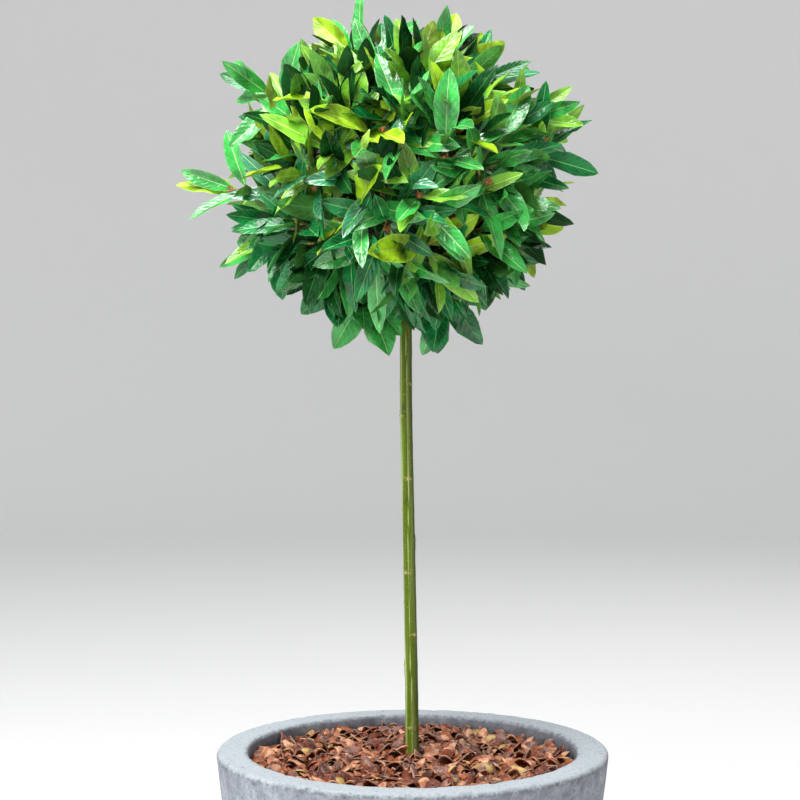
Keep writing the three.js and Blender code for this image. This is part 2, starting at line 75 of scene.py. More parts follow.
def along(table, place):
    rows = np.array(table, float)
    return np.interp(place, rows[:, 0], rows[:, 1])


def between(limits, share):
    return limits[0] + (limits[1] - limits[0]) * share


def bell(offset, width, power=2):
    # 1 in the middle and near 0 past the width
    return np.exp(-((np.abs(offset) / width) ** power))


def levelFor(axis):
    # a direction well off the given one
    return up if abs(axis[2]) < 0.9 else np.array([1.0, 0, 0])


def smoothStep(low, high, value):
    share = np.clip((value - low) / (high - low), 0, 1)
    return share * share * (3 - 2 * share)


def ripples(points, wavelength, seed, layers=5):
    # smooth uneven relief, mostly from -1 to 1: plane waves in seeded directions
    draw = np.random.default_rng(seed)
    total = np.zeros(len(points))
    for layer in range(layers):
        for _ in range(4):
            heading = unit(draw.normal(size=3))
            size = wavelength * (0.62**layer) * draw.uniform(0.8, 1.25)
            phase = draw.uniform(0, roughTurn)
            total += np.sin(points @ heading * (2 * math.pi / size) + phase) * 0.6**layer
    return total / 4.5


def tone(red, green, blue):
    # display values of 0 to 255 as the linear colour that a shader takes
    def linear(value):
        value /= 255
        return value / 12.92 if value <= 0.04045 else ((value + 0.055) / 1.055) ** 2.4

    return (linear(red), linear(green), linear(blue), 1.0)


# mesh tools
def sceneObject(name, data):
    made = bpy.data.objects.new(name, data)
    bpy.context.scene.collection.objects.link(made)
    return made


def addMarks(mesh, marks):
    # shares from 0 to 1 at the points, for a material to read
    for name, values in marks.items():
        mesh.attributes.new(name, "FLOAT", "POINT").data.foreach_set("value", np.asarray(values, np.float32))


def meshPiece(name, points, faceSets, materials, slots=None, corners=None, marks=None, sharpAngle=None):
    mesh = bpy.data.meshes.new(name)
    loops = np.concatenate([faces.ravel() for faces in faceSets]).astype(np.int32)
    sizes = np.concatenate([np.full(len(faces), faces.shape[1]) for faces in faceSets])
    starts = np.concatenate([[0], np.cumsum(sizes)[:-1]]).astype(np.int32)
    mesh.vertices.add(len(points))
    mesh.loops.add(len(loops))
    mesh.polygons.add(len(sizes))
    mesh.vertices.foreach_set("co", (np.asarray(points) * mm).astype(np.float32).ravel())
    mesh.loops.foreach_set("vertex_index", loops)
    mesh.polygons.foreach_set("loop_start", starts)
    mesh.polygons.foreach_set("use_smooth", np.ones(len(sizes), bool))
    if slots is not None:
        mesh.polygons.foreach_set("material_index", np.asarray(slots, np.int32))
    mesh.update(calc_edges=True)
    if corners is not None:
        layer = mesh.uv_layers.new(name="surface")
        layer.data.foreach_set("uv", np.asarray(corners, np.float32).ravel())
    addMarks(mesh, marks or {})
    mesh.validate()
    if sharpAngle:
        mesh.set_sharp_from_angle(angle=math.radians(sharpAngle))
    for material in materials:
        mesh.materials.append(material)
    return sceneObject(name, mesh)


def tube(points, radii, sides):
    # rings strung on points, with flat ends
    points = np.asarray(points, float)
    side = np.array([1.0, 0.2, 0.1])
    turns = np.arange(sides) * 2 * math.pi / sides
    rings = []
    for i, point in enumerate(points):
        tangent = unit(points[min(i + 1, len(points) - 1)] - points[max(i - 1, 0)])
        side = unit(side - tangent * np.dot(side, tangent))
        across = np.cross(tangent, side)
        rings.append(point + radii[i] * (np.outer(np.cos(turns), side) + np.outer(np.sin(turns), across)))
    return np.concatenate(rings), tubeFaces(len(points), sides)


def ringQuads(rings, sides):
    # the faces between each ring of points and the next
    k = np.arange(sides)
    ahead = (k + 1) % sides
    row = np.stack([k, ahead, ahead + sides, k + sides], 1)
    return np.concatenate([row + i * sides for i in range(rings - 1)])


def fan(first, sides):
    # the triangles that close the ring of points from the first on
    k = np.arange(1, sides - 1)
    return first + np.stack([0 * k, k, k + 1], 1)


def turnedOver(faces):
    # the same faces looking the other way
    return np.concatenate([faces[:, :1], faces[:, :0:-1]], 1)


def tubeFaces(rings, sides):
    ends = [turnedOver(fan(0, sides)), fan((rings - 1) * sides, sides)]
    return [ringQuads(rings, sides), np.concatenate(ends)]


def turnedProfile(profile, sides):
    # a ring of points round the Z axis for each radius and height
    turns = np.arange(sides) * 2 * math.pi / sides
    return np.array([(r * math.cos(t), r * math.sin(t), z) for r, z in profile for t in turns])


def joined(parts):
    # several (points, [quads, triangles]) as one set
    points, quads, triangles, offset = [], [], [], 0
    for partPoints, (partQuads, partTriangles) in parts:
        points.append(partPoints)
        quads.append(partQuads + offset)
        triangles.append(partTriangles + offset)
        offset += len(partPoints)
    return np.concatenate(points), [np.concatenate(quads), np.concatenate(triangles)]


def finished(piece, slot, *nodes):
    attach(piece, "root")
    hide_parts(*nodes)


def bakedPiece(name, source):
    # the modifier's result as a plain mesh
    bpy.context.view_layer.update()
    result = source.evaluated_get(bpy.context.evaluated_depsgraph_get())
    mesh = bpy.data.meshes.new_from_object(result)
    mesh.name = name
    bpy.data.objects.remove(source)
    return sceneObject(name, mesh)


# node tools
def addNode(tree, kind, inputs=None, **settings):
    node = tree.nodes.new(kind)
    for key, value in settings.items():
        setattr(node, key, value)
    for key, value in (inputs or {}).items():
        if isinstance(value, bpy.types.NodeSocket):
            tree.links.new(value, node.inputs[key])
        else:
            node.inputs[key].default_value = value
    return node


def mixColour(tree, factor, first, second, blend="MIX"):
    inputs = {0: factor, 6: first, 7: second}
    return addNode(tree, "ShaderNodeMix", inputs, data_type="RGBA", blend_type=blend).outputs[2]


def mathNode(tree, operation, first, second=0.0):
    return addNode(tree, "ShaderNodeMath", {0: first, 1: second}, operation=operation).outputs[0]


def times(tree, first, second):
    return mathNode(tree, "MULTIPLY", first, second)


def laidOver(tree, colour, mask, strength, layer):
    return mixColour(tree, times(tree, mask, strength), colour, layer)


def noiseAt(tree, place, scale, detail):
    inputs = {"Vector": place, "Scale": scale, "Detail": detail}
    return addNode(tree, "ShaderNodeTexNoise", inputs).outputs[0]


def markOn(tree, name):
    return addNode(tree, "ShaderNodeAttribute", attribute_name=name).outputs["Fac"]


def addBump(tree, shader, strength, distance, height):
    bump = addNode(tree, "ShaderNodeBump", {"Strength": strength, "Distance": distance, "Height": height})
    tree.links.new(bump.outputs[0], shader.inputs["Normal"])


def stepped(tree, value, low, high, bottom=0.0, top=1.0):
    inputs = {0: value, 1: low, 2: high, 3: bottom, 4: top}
    return addNode(tree, "ShaderNodeMapRange", inputs, interpolation_type="SMOOTHSTEP").outputs[0]


def newMaterial(name, settings):
    material = bpy.data.materials.new(name)
    material.use_nodes = True
    tree = material.node_tree
    tree.nodes.clear()
    shader = addNode(tree, "ShaderNodeBsdfPrincipled", settings)
    addNode(tree, "ShaderNodeOutputMaterial", {"Surface": shader.outputs[0]})
    place = addNode(tree, "ShaderNodeTexCoord").outputs["Object"]
    return material, tree, shader, place


def shaderGroup(name, inputs, outputs):
    group = bpy.data.node_groups.new(name, "ShaderNodeTree")
    for label, kind, value in inputs:
        socket = group.interface.new_socket(name=label, in_out="INPUT", socket_type=kind)
        if value is not None:
            socket.default_value = value
    for label, kind in outputs:
        group.interface.new_socket(name=label, in_out="OUTPUT", socket_type=kind)
    return group, addNode(group, "NodeGroupInput").outputs, addNode(group, "NodeGroupOutput")


def placed(tree, group, inputs):
    return addNode(tree, "ShaderNodeGroup", inputs, node_tree=group).outputs


def geometryTree(name, inputs, result):
    tree = bpy.data.node_groups.new(name, "GeometryNodeTree")
    tree.is_modifier = True
    sockets = {}
    for label, kind in inputs.items():
        socket = tree.interface.new_socket(name=label, in_out="INPUT", socket_type="NodeSocket" + kind)
        sockets[label] = socket.identifier
    tree.interface.new_socket(name=result, in_out="OUTPUT", socket_type="NodeSocketGeometry")
    return tree, sockets, addNode(tree, "NodeGroupInput").outputs


def randomFrom(tree, low, high, seed):
    inputs = {2: low, 3: high, "Seed": seed}  # 0 and 1 are the limits of a vector
    return addNode(tree, "FunctionNodeRandomValue", inputs, data_type="FLOAT").outputs[1]


def dealOut(tree, points, shape, turn, size, finish, result):
    # one shape on each point, made real, smooth and finished
    inputs = {"Points": points, "Instance": shape, "Rotation": turn, "Scale": size}
    dealt = addNode(tree, "GeometryNodeInstanceOnPoints", inputs).outputs[0]
    real = addNode(tree, "GeometryNodeRealizeInstances", {"Geometry": dealt}).outputs[0]
    soft = addNode(tree, "GeometryNodeSetShadeSmooth", {"Geometry": real}).outputs[0]
    dressed = addNode(tree, "GeometryNodeSetMaterial", {"Geometry": soft, "Material": finish}).outputs[0]
    addNode(tree, "NodeGroupOutput", {result: dressed})


def grownPiece(name, carrier, tree, sockets, values):
    modifier = carrier.modifiers.new("grown", "NODES")
    modifier.node_group = tree
    for label, value in values.items():
        modifier[sockets[label]] = value
    return bakedPiece(name, carrier)


# shared effects
def buildMottle():
    # cloudy change from one colour to another
    group, given, out = shaderGroup(
        "mottle",
        [
            ("Place", "NodeSocketVector", None),
            ("Scale", "NodeSocketFloat", 20.0),
            ("Low", "NodeSocketFloat", 0.4),
            ("High", "NodeSocketFloat", 0.62),
            ("Ground", "NodeSocketColor", (0.5, 0.5, 0.5, 1)),
            ("Cloud", "NodeSocketColor", (0.8, 0.8, 0.8, 1)),
        ],
        [("Colour", "NodeSocketColor"), ("Mask", "NodeSocketFloat")],
    )
    noise = noiseAt(group, given["Place"], given["Scale"], 5.0)
    mask = stepped(group, noise, given["Low"], given["High"])
    group.links.new(mixColour(group, mask, given["Ground"], given["Cloud"]), out.inputs["Colour"])
    group.links.new(mask, out.inputs["Mask"])
    return group


def buildPits():
    # small round pits, some cells only
    group, given, out = shaderGroup(
        "pits",
        [
            ("Place", "NodeSocketVector", None),
            ("Scale", "NodeSocketFloat", 90.0),
            ("Size", "NodeSocketFloat", 0.2),
            ("Share", "NodeSocketFloat", 0.3),
        ],
        [("Mask", "NodeSocketFloat")],
    )
    cells = addNode(group, "ShaderNodeTexVoronoi", {"Vector": given["Place"], "Scale": given["Scale"]})
    hollow = stepped(group, cells.outputs["Distance"], 0.0, given["Size"], 1.0, 0.0)
    pick = addNode(group, "ShaderNodeSeparateColor", {0: cells.outputs["Color"]}).outputs[0]
    chosen = mathNode(group, "LESS_THAN", pick, given["Share"])
    group.links.new(times(group, hollow, chosen), out.inputs["Mask"])
    return group


def buildStreaks():
    # long narrow marks along the piece's own height
    group, given, out = shaderGroup(
        "streaks",
        [
            ("Place", "NodeSocketVector", None),
            ("Scale", "NodeSocketFloat", 300.0),
            ("Stretch", "NodeSocketFloat", 0.05),
            ("Low", "NodeSocketFloat", 0.45),
            ("High", "NodeSocketFloat", 0.6),
        ],
        [("Mask", "NodeSocketFloat")],
    )
    stretched = addNode(group, "ShaderNodeCombineXYZ", {0: 1.0, 1: 1.0, 2: given["Stretch"]}).outputs[0]
    drawn = addNode(group, "ShaderNodeVectorMath", {0: given["Place"], 1: stretched}, operation="MULTIPLY")
    noise = noiseAt(group, drawn.outputs[0], given["Scale"], 3.0)
    group.links.new(stepped(group, noise, given["Low"], given["High"]), out.inputs["Mask"])
    return group


mottle = buildMottle()
pits = buildPits()
streaks = buildStreaks()
print("shared effects ready")


def mottled(tree, place, scale, low, high, ground, cloud):
    inputs = {"Place": place, "Scale": scale, "Low": low, "High": high, "Ground": ground, "Cloud": cloud}
    return placed(tree, mottle, inputs)


def pitted(tree, place, scale, size, share):
    return placed(tree, pits, {"Place": place, "Scale": scale, "Size": size, "Share": share})["Mask"]


def streaked(tree, place, scale, stretch, low, high):
    inputs = {"Place": place, "Scale": scale, "Stretch": stretch, "Low": low, "High": high}
    return placed(tree, streaks, inputs)["Mask"]


# pot
potSizes = {
    "height": 350,
    "rimRadius": 200,
    "footRadius": 160,
    "rimWall": 32,
    "footWall": 24,
    "floor": 28,
    "outerRound": 5,
    "innerRound": 4,
    "footRound": 4,
    "footCut": 1.2,
    "drainRadius": 9,
    "drainCircle": 70,
    "drains": 4,
    "segments": 480,
    # from ring to ring
    "underSpacing": 24,
    "wallSpacing": 7,
    "rimSpacing": 2.4,
    "insideSpacing": 9,
    "floorSpacing": 30,
}
potWear = {
    "unevenness": 0.4,
    "topUnevenness": 0.6,
    "sideWaves": 90,
    "topWaves": 60,
    "edgeWaves": 26,
    "topFade": (12, 2),  # down from the top
    "footFade": (4, 20),  # up from the ground
    "raggedness": 1.0,
    "chips": 80,
    "chipSize": (1.4, 4.6),
    "chipDepth": (0.4, 1.5),
    "chipSlope": 1.2,
    "outerChip": 2.6,  # how far in from the outer edge and down from the top
    "innerChip": 1.2,
    "outerLine": (0.8, 4.0),  # in from the rim's radius and down, where the dark line runs
    "outerLineWidth": 2.5,
    "innerLineWidth": 4,
    "innerLineShare": 0.7,
    "rimFade": (6, 1.5),  # down from the top, where the rim's paler tone starts and is full
    # down from the top inside, where the inner wall's darkening starts and is full: partly damp, partly
    # painted shade of the pot's hollow
    "dampAndShadeFade": (2.5, 5.5),
    "seed": 41,
}
white = (1, 1, 1, 1)
concreteLook = {
    "ground": tone(138, 142, 149),
    "cloud": tone(162, 166, 173),
    "rim": tone(161, 168, 171),
    "pit": tone(70, 72, 78),
    "shadow": tone(224, 224, 230),
    # stain and the damp tone darken the whole inside wall, partly as damp staining and partly as painted
    # shade of the pot's hollow; stain also colours the runs
    "stain": tone(90, 87, 91),
    "dampAndShade": tone(60, 57, 60),
    "grit": (0.68, 0.69, 0.72, 1),
    "roughness": (0.82, 0.7),
}
concreteSteps = {
    # scale, low and high
    "clouds": (36.0, 0.34, 0.66),
    "grit": (300.0, 0.5, 0.66),
    "dampAndShade": (125.0, 0.36, 0.64),
    "blotches": (95.0, 0.36, 0.64),
    # scale, stretch, low and high
    "runs": (60.0, 0.12, 0.5, 0.7),
    # scale, size and share
    "smallPits": (260.0, 0.3, 0.16),
    "largePits": (58.0, 0.17, 0.3),
    # scale and detail
    "cracks": (24.0, 3.0),
    "specks": (240.0, 4.0),
    "wear": (110.0, 5.0),
    "grain": (480.0, 5.0),
    # from and to, and what comes of them
    "crackLine": (0.0, 0.007, 1.0, 0.0),
    "speckLine": (0.5, 0.6, 0.0, 1.0),
    "wearLine": (0.47, 0.57, 0.15, 0.9),
}
concreteShares = {
    # how strongly each shows
    "runs": 0.08,
    "cracks": 0.55,
    "blotches": 0.9,
    "rim": 0.86,
    "inside": 0.92,
    "chips": 0.35,
    "specks": 0.7,
    "edge": 0.8,
    "grit": 0.8,
    "pits": 0.7,
    "grain": 0.6,
}


def wallInside(height):
    low = (potSizes["floor"], potSizes["footRadius"] - potSizes["footWall"])
    high = (potSizes["height"] - potSizes["innerRound"], potSizes["rimRadius"] - potSizes["rimWall"])
    return low[1] + (high[1] - low[1]) * (height - low[0]) / (high[0] - low[0])


def quarter(centreRadius, centreHeight, radius, start, stop, steps):
    turns = np.radians(np.linspace(start, stop, steps))
    return [(centreRadius + radius * math.cos(t), centreHeight + radius * math.sin(t)) for t in turns]


def spread(first, second, spacing):
    # points between two profile corners, both left out
    first, second = np.array(first), np.array(second)
    steps = max(1, round(math.dist(first, second) / spacing))
    return [tuple(first + (second - first) * i / steps) for i in range(1, steps)]


def concreteMaterial():
    look, steps, share = concreteLook, concreteSteps, concreteShares
    material, tree, shader, place = newMaterial("paleConcrete", {"Specular IOR Level": 0.35})
    clouds = mottled(tree, place, *steps["clouds"], look["ground"], look["cloud"])
    grit = mottled(tree, place, *steps["grit"], white, look["grit"])["Colour"]
    dampAndShade = mottled(tree, place, *steps["dampAndShade"], look["stain"], look["dampAndShade"])["Colour"]
    blotches = mottled(tree, place, *steps["blotches"], look["shadow"], white)
    runs = streaked(tree, place, *steps["runs"])
    middle = mathNode(tree, "SUBTRACT", noiseAt(tree, place, *steps["cracks"]), 0.5)
    cracks = stepped(tree, mathNode(tree, "ABSOLUTE", middle), *steps["crackLine"])
    cracks = times(tree, cracks, blotches["Mask"])
    edge = markOn(tree, "edge")
    specks = stepped(tree, noiseAt(tree, place, *steps["specks"]), *steps["speckLine"])
    specks = times(tree, specks, edge)
    broken = stepped(tree, noiseAt(tree, place, *steps["wear"]), *steps["wearLine"])
    worn = times(tree, mathNode(tree, "POWER", edge, 2.0), broken)
    worn = mathNode(tree, "MAXIMUM", times(tree, specks, share["specks"]), worn)
    small, large = (pitted(tree, place, *steps[name]) for name in ("smallPits", "largePits"))
    holes = mathNode(tree, "MAXIMUM", small, large)
    colour = laidOver(tree, clouds["Colour"], runs, share["runs"], look["stain"])
    colour = laidOver(tree, colour, cracks, share["cracks"], look["pit"])
    colour = mixColour(tree, share["blotches"], colour, blotches["Colour"], "MULTIPLY")
    colour = laidOver(tree, colour, markOn(tree, "rim"), share["rim"], look["rim"])
    # the inside wall is darkened, partly as damp staining and partly as painted shade of the pot's hollow
    colour = laidOver(tree, colour, markOn(tree, "inside"), share["inside"], dampAndShade)
    colour = laidOver(tree, colour, markOn(tree, "chip"), share["chips"], look["pit"])
    colour = laidOver(tree, colour, worn, share["edge"], look["pit"])
    colour = mixColour(tree, share["grit"], colour, grit, "MULTIPLY")
    colour = laidOver(tree, colour, holes, share["pits"], look["pit"])
    tree.links.new(colour, shader.inputs["Base Color"])
    rough = stepped(tree, clouds["Mask"], 0.0, 1.0, *look["roughness"])
    tree.links.new(rough, shader.inputs["Roughness"])
    grain = times(tree, noiseAt(tree, place, *steps["grain"]), share["grain"])
    addBump(tree, shader, 0.7, 0.0008, mathNode(tree, "SUBTRACT", grain, holes))
    return material


def potProfile():
    # radius and height from the middle of the underside, round the rim, to the middle of the floor
    s = potSizes
    top, inside = s["height"], s["rimRadius"] - s["rimWall"]
    outer = quarter(s["rimRadius"] - s["outerRound"], top - s["outerRound"], s["outerRound"], 0, 90, 9)
    inner = quarter(inside + s["innerRound"], top - s["innerRound"], s["innerRound"], 90, 180, 6)
    underside = (s["footRadius"] - s["footRound"], 0)
    foot = (s["footRadius"], s["footRound"])
    wallFoot, middle = (wallInside(s["floor"]), s["floor"]), (0, s["floor"])
    return [
        (0, 0),
        *spread((0, 0), underside, s["underSpacing"]),
        underside,
        (s["footRadius"] - s["footCut"], s["footCut"]),
        foot,
        *spread(foot, outer[0], s["wallSpacing"]),
        *outer,
        *spread(outer[-1], inner[0], s["rimSpacing"]),
        *inner,
        *spread(inner[-1], wallFoot, s["insideSpacing"]),
        wallFoot,
        *spread(wallFoot, middle, s["floorSpacing"]),
        middle,
    ]


def buildPot():
    s = potSizes
    mesh = bpy.data.meshes.new("pot_turning")
    shape = bmesh.new()
    rings = []
    for corner in potProfile():
        sides = s["segments"] if corner[0] else 1
        rings.append([shape.verts.new(tuple(point * mm)) for point in turnedProfile([corner], sides)])
    for below, above in zip(rings, rings[1:]):
        for k in range(s["segments"]):
            places = ((below, k), (below, k + 1), (above, k + 1), (above, k))
            corners = [ring[i % len(ring)] for ring, i in places]
            shape.faces.new(list(dict.fromkeys(corners)))  # on the axis two corners are one
    bmesh.ops.recalc_face_normals(shape, faces=shape.faces)
    shape.to_mesh(mesh)
    shape.free()
    turned = sceneObject("pot_turning", mesh)
    cutter = drainCutter()
    cut = turned.modifiers.new("drains", "BOOLEAN")
    cut.object = cutter
    cut.solver = "EXACT"
    piece = bakedPiece("planter", turned)
    bpy.data.objects.remove(cutter)
    weatherPot(piece.data)
    piece.data.materials.clear()
    piece.data.materials.append(concreteMaterial())
    piece.data.polygons.foreach_set("use_smooth", np.ones(len(piece.data.polygons), bool))
    piece.data.set_sharp_from_angle(angle=math.radians(50))
    finished(piece, "concrete", "pot")
    print("pot:", len(piece.data.polygons), "faces")


def drainCutter():
    s = potSizes
    radius = s["drainRadius"] * mm
    shape = bmesh.new()
    for i in range(s["drains"]):
        turn = 2 * math.pi * (i + 0.5) / s["drains"]
        made = bmesh.ops.create_cone(
            shape, cap_ends=True, segments=32, radius1=radius, radius2=radius, depth=s["floor"] * 3 * mm
        )
        place = Vector((s["drainCircle"] * math.cos(turn) * mm, s["drainCircle"] * math.sin(turn) * mm, 0))
        bmesh.ops.translate(shape, verts=made["verts"], vec=place)
    mesh = bpy.data.meshes.new("drain_cutter")
    shape.to_mesh(mesh)
    shape.free()
    return sceneObject("drain_cutter", mesh)


def weatherPot(mesh):
    # cast unevenness, chipped edges, where the rim is, and where the inside wall is darkened, partly damp
    # and partly painted shade of the pot's hollow
    s, w = potSizes, potWear
    points = np.zeros(len(mesh.vertices) * 3, np.float32)
    mesh.vertices.foreach_get("co", points)
    points = points.reshape(-1, 3).astype(float) / mm
    radius, height = np.hypot(points[:, 0], points[:, 1]), points[:, 2]
    outward = points * np.array([1, 1, 0]) / np.maximum(radius, 1)[:, None]
    below = s["height"] - height
    innerRadius = s["rimRadius"] - s["rimWall"]
    wall = wallInside(np.minimum(height, s["height"] - s["innerRound"]))
    inside = (radius < wall + 1) & (height > s["floor"] - 1)
    topShare = smoothStep(*w["topFade"], below)
    sideShare = smoothStep(*w["footFade"], height) * np.where(inside, -1.0, 1.0) * (1 - topShare)
    swell = ripples(points, w["sideWaves"], w["seed"]) * w["unevenness"]
    moved = points + outward * (swell * sideShare)[:, None]
    moved[:, 2] -= topShare * np.abs(ripples(points, w["topWaves"], w["seed"] + 1)) * w["topUnevenness"]
    outerEdge = np.hypot(s["rimRadius"] - w["outerLine"][0] - radius, w["outerLine"][1] - below)
    innerEdge = np.hypot(innerRadius + w["innerChip"] - radius, w["innerChip"] - below)
    innerLine = bell(innerEdge, w["innerLineWidth"])
    nearEdge = np.maximum(bell(outerEdge, w["outerLineWidth"]), w["innerLineShare"] * innerLine)
    ragged = innerLine * ripples(points, w["edgeWaves"], w["seed"] + 2) * w["raggedness"]
    moved += outward * ragged[:, None]
    draw = np.random.default_rng(w["seed"])
    chip = np.zeros(len(points))
    for i in range(w["chips"]):
        turn = draw.uniform(0, 2 * math.pi)
        size = draw.uniform(*w["chipSize"])
        depth = draw.uniform(*w["chipDepth"])
        around = np.array([math.cos(turn), math.sin(turn), 0])
        if i % 3:  # two chips in three are on the outer edge
            place = around * (s["rimRadius"] - w["outerChip"]) + up * (s["height"] - w["outerChip"])
        else:
            place = around * (innerRadius + w["innerChip"]) + up * (s["height"] - w["innerChip"])
            around = -around
        gap = np.linalg.norm((points - place) * np.array([1, 1, 1.3]), axis=1)
        reach = bell(gap, size, 4)
        moved -= unit(around + up * w["chipSlope"]) * (reach * depth)[:, None]
        chip = np.maximum(chip, reach * min(1, depth))
    mesh.vertices.foreach_set("co", (moved * mm).astype(np.float32).ravel())
    rim = smoothStep(*w["rimFade"], below) * ~inside
    # the inside wall's mark: partly damp, partly painted shade of the hollow
    dampAndShade = smoothStep(*w["dampAndShadeFade"], below) * inside
    addMarks(mesh, {"rim": rim, "inside": dampAndShade, "chip": chip, "edge": nearEdge})
    mesh.update()


buildPot()


# compost
def compostMaterial():
    material, tree, shader, place = newMaterial("moistCompost", {"Roughness": 0.95})
    crumbs = mottled(tree, place, 160.0, 0.4, 0.62, tone(46, 33, 24), tone(84, 62, 46))
    tree.links.new(crumbs["Colour"], shader.inputs["Base Color"])
    addBump(tree, shader, 0.9, 0.002, noiseAt(tree, place, 240.0, 6.0))
    return material


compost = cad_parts["compost"].data
compost.materials.clear()
compost.materials.append(compostMaterial())
print("compost finished")


# cocoa-shell mulch
mulchSizes = {
    "soilTop": 318,
    "atWall": 334,
    "atStem": 342,
    "bedSunk": 3.5,
    "inset": 1.5,
    "stemGap": 12.0,
    "wallGap": 7.0,
    "spacing": 9.8,
    "smallest": 0.6,
    "largest": 1.5,
    "slant": 0.95,
    "lift": 5.0,
    "halfLength": 9.6,
    "halfWidth": 6.0,
    "curl": (0.08, 0.17),
    "sag": (0.01, 0.05),
    "twist": 0.06,
    "halves": np.array([0.5, 0.9, 1.0, 0.96, 0.82, 0.44]),  # of a shell's half width, end to end
    "widthSpread": (0.8, 1.1),
    "torn": 0.6,
    "uneven": 0.3,
    "dents": 0.22,
    "raised": 2.0,
    "rounding": 0.16,  # how much shorter a shell is at its sides
    "innerFace": (0.98, 0.94),  # its length and width as shares of the outer face
    "wall": 0.75,
    "rows": 6,
    "columns": 5,
    "segments": 96,
    "rings": 26,
    "waves": (34, 9, 1.6),  # length, seed and height
    "emitterSunk": 0.6,  # as a share of the bed's
}
shellTints = [
    # name, spacing as a share, ground colour, second colour, seed
    ("russet", 1.3, tone(104, 42, 13), tone(154, 82, 42), 3),
    ("chestnut", 1.4, tone(64, 20, 5), tone(106, 46, 22), 11),
    ("tan", 1.6, tone(156, 94, 58), tone(206, 152, 118), 23),
    ("mauve", 2.0, tone(92, 56, 46), tone(142, 100, 86), 37),
    ("straw", 3.6, tone(158, 124, 60), tone(196, 166, 104), 51),
]


def mulchHeight(radius):
    share = np.minimum(radius / wallInside(mulchSizes["atWall"]), 1)
    return mulchSizes["atStem"] + (mulchSizes["atWall"] - mulchSizes["atStem"]) * share * share


def shellMaterial(name, ground, cloud):
    material, tree, shader, place = newMaterial(name, {"Specular IOR Level": 0.3, "Roughness": 0.32})
    patches = mottled(tree, place, 95.0, 0.42, 0.6, ground, cloud)
    veins = streaked(tree, place, 520.0, 0.6, 0.45, 0.6)
    darker = mixColour(tree, 0.5, ground, (0.02, 0.01, 0.006, 1))
    # paler is laid on the torn outline: partly the husk's paler broken edge, partly a painted highlight
    # along the shells' edges
    paler = mixColour(tree, 0.6, cloud, tone(232, 184, 148))
    colour = laidOver(tree, patches["Colour"], veins, 0.35, darker)
    colour = mixColour(tree, stepped(tree, markOn(tree, "torn"), 0.6, 1.0, 0.0, 0.28), colour, paler)
    tree.links.new(colour, shader.inputs["Base Color"])
    addBump(tree, shader, 0.5, 0.0006, veins)
    return material


def shellShape(name, seed):
    # one curled husk with a torn outline, a few dozen faces
    s = mulchSizes
    rows, columns = s["rows"], s["columns"]
    draw = np.random.default_rng(seed)
    left, right = (s["halves"] * draw.uniform(*s["widthSpread"], rows) for _ in range(2))
    curl, sag = draw.uniform(*s["curl"]), draw.uniform(*s["sag"])
    twist = s["twist"] * draw.uniform(-1, 1)
    above, below, torn = [], [], []
    for i, place in enumerate(np.linspace(-1, 1, rows)):
        for j in range(columns):
            share = j / (columns - 1) * 2 - 1
            onBorder = abs(share) == 1 or i in (0, rows - 1)
            jag = draw.normal() * (s["torn"] if onBorder else s["uneven"])
            x = place * s["halfLength"] * (1 - s["rounding"] * share * share) + jag
            y = share * s["halfWidth"] * (right[i] if share > 0 else left[i]) + draw.normal() * s["uneven"]
            z = s["raised"] - curl * y * y - sag * x * x + twist * x * y + draw.normal() * s["dents"]
            above.append((x, y, z))
            below.append((x * s["innerFace"][0], y * s["innerFace"][1], z - s["wall"]))
            # the outline points, which the finish makes paler, partly as a painted highlight
            torn.append(1.0 if onBorder else 0.0)
    total = rows * columns
    quads = []
    for i in range(rows - 1):
        for j in range(columns - 1):
            a = i * columns + j
            b = a + columns
            quads += [(a, b, b + 1, a + 1), (a + total, a + 1 + total, b + 1 + total, b + total)]
    outline = list(range(columns))
    outline += [i * columns + columns - 1 for i in range(1, rows)]
    outline += [(rows - 1) * columns + j for j in range(columns - 2, -1, -1)]
    outline += [i * columns for i in range(rows - 2, 0, -1)]
    quads += [(a, b, b + total, a + total) for a, b in zip(outline, outline[1:] + outline[:1])]
    shell = meshPiece(name, np.array(above + below), [np.array(quads)], [], marks={"torn": torn + torn})
    fixed = bmesh.new()
    fixed.from_mesh(shell.data)
    bmesh.ops.recalc_face_normals(fixed, faces=fixed.faces)
    fixed.to_mesh(shell.data)
    fixed.free()
    return shell


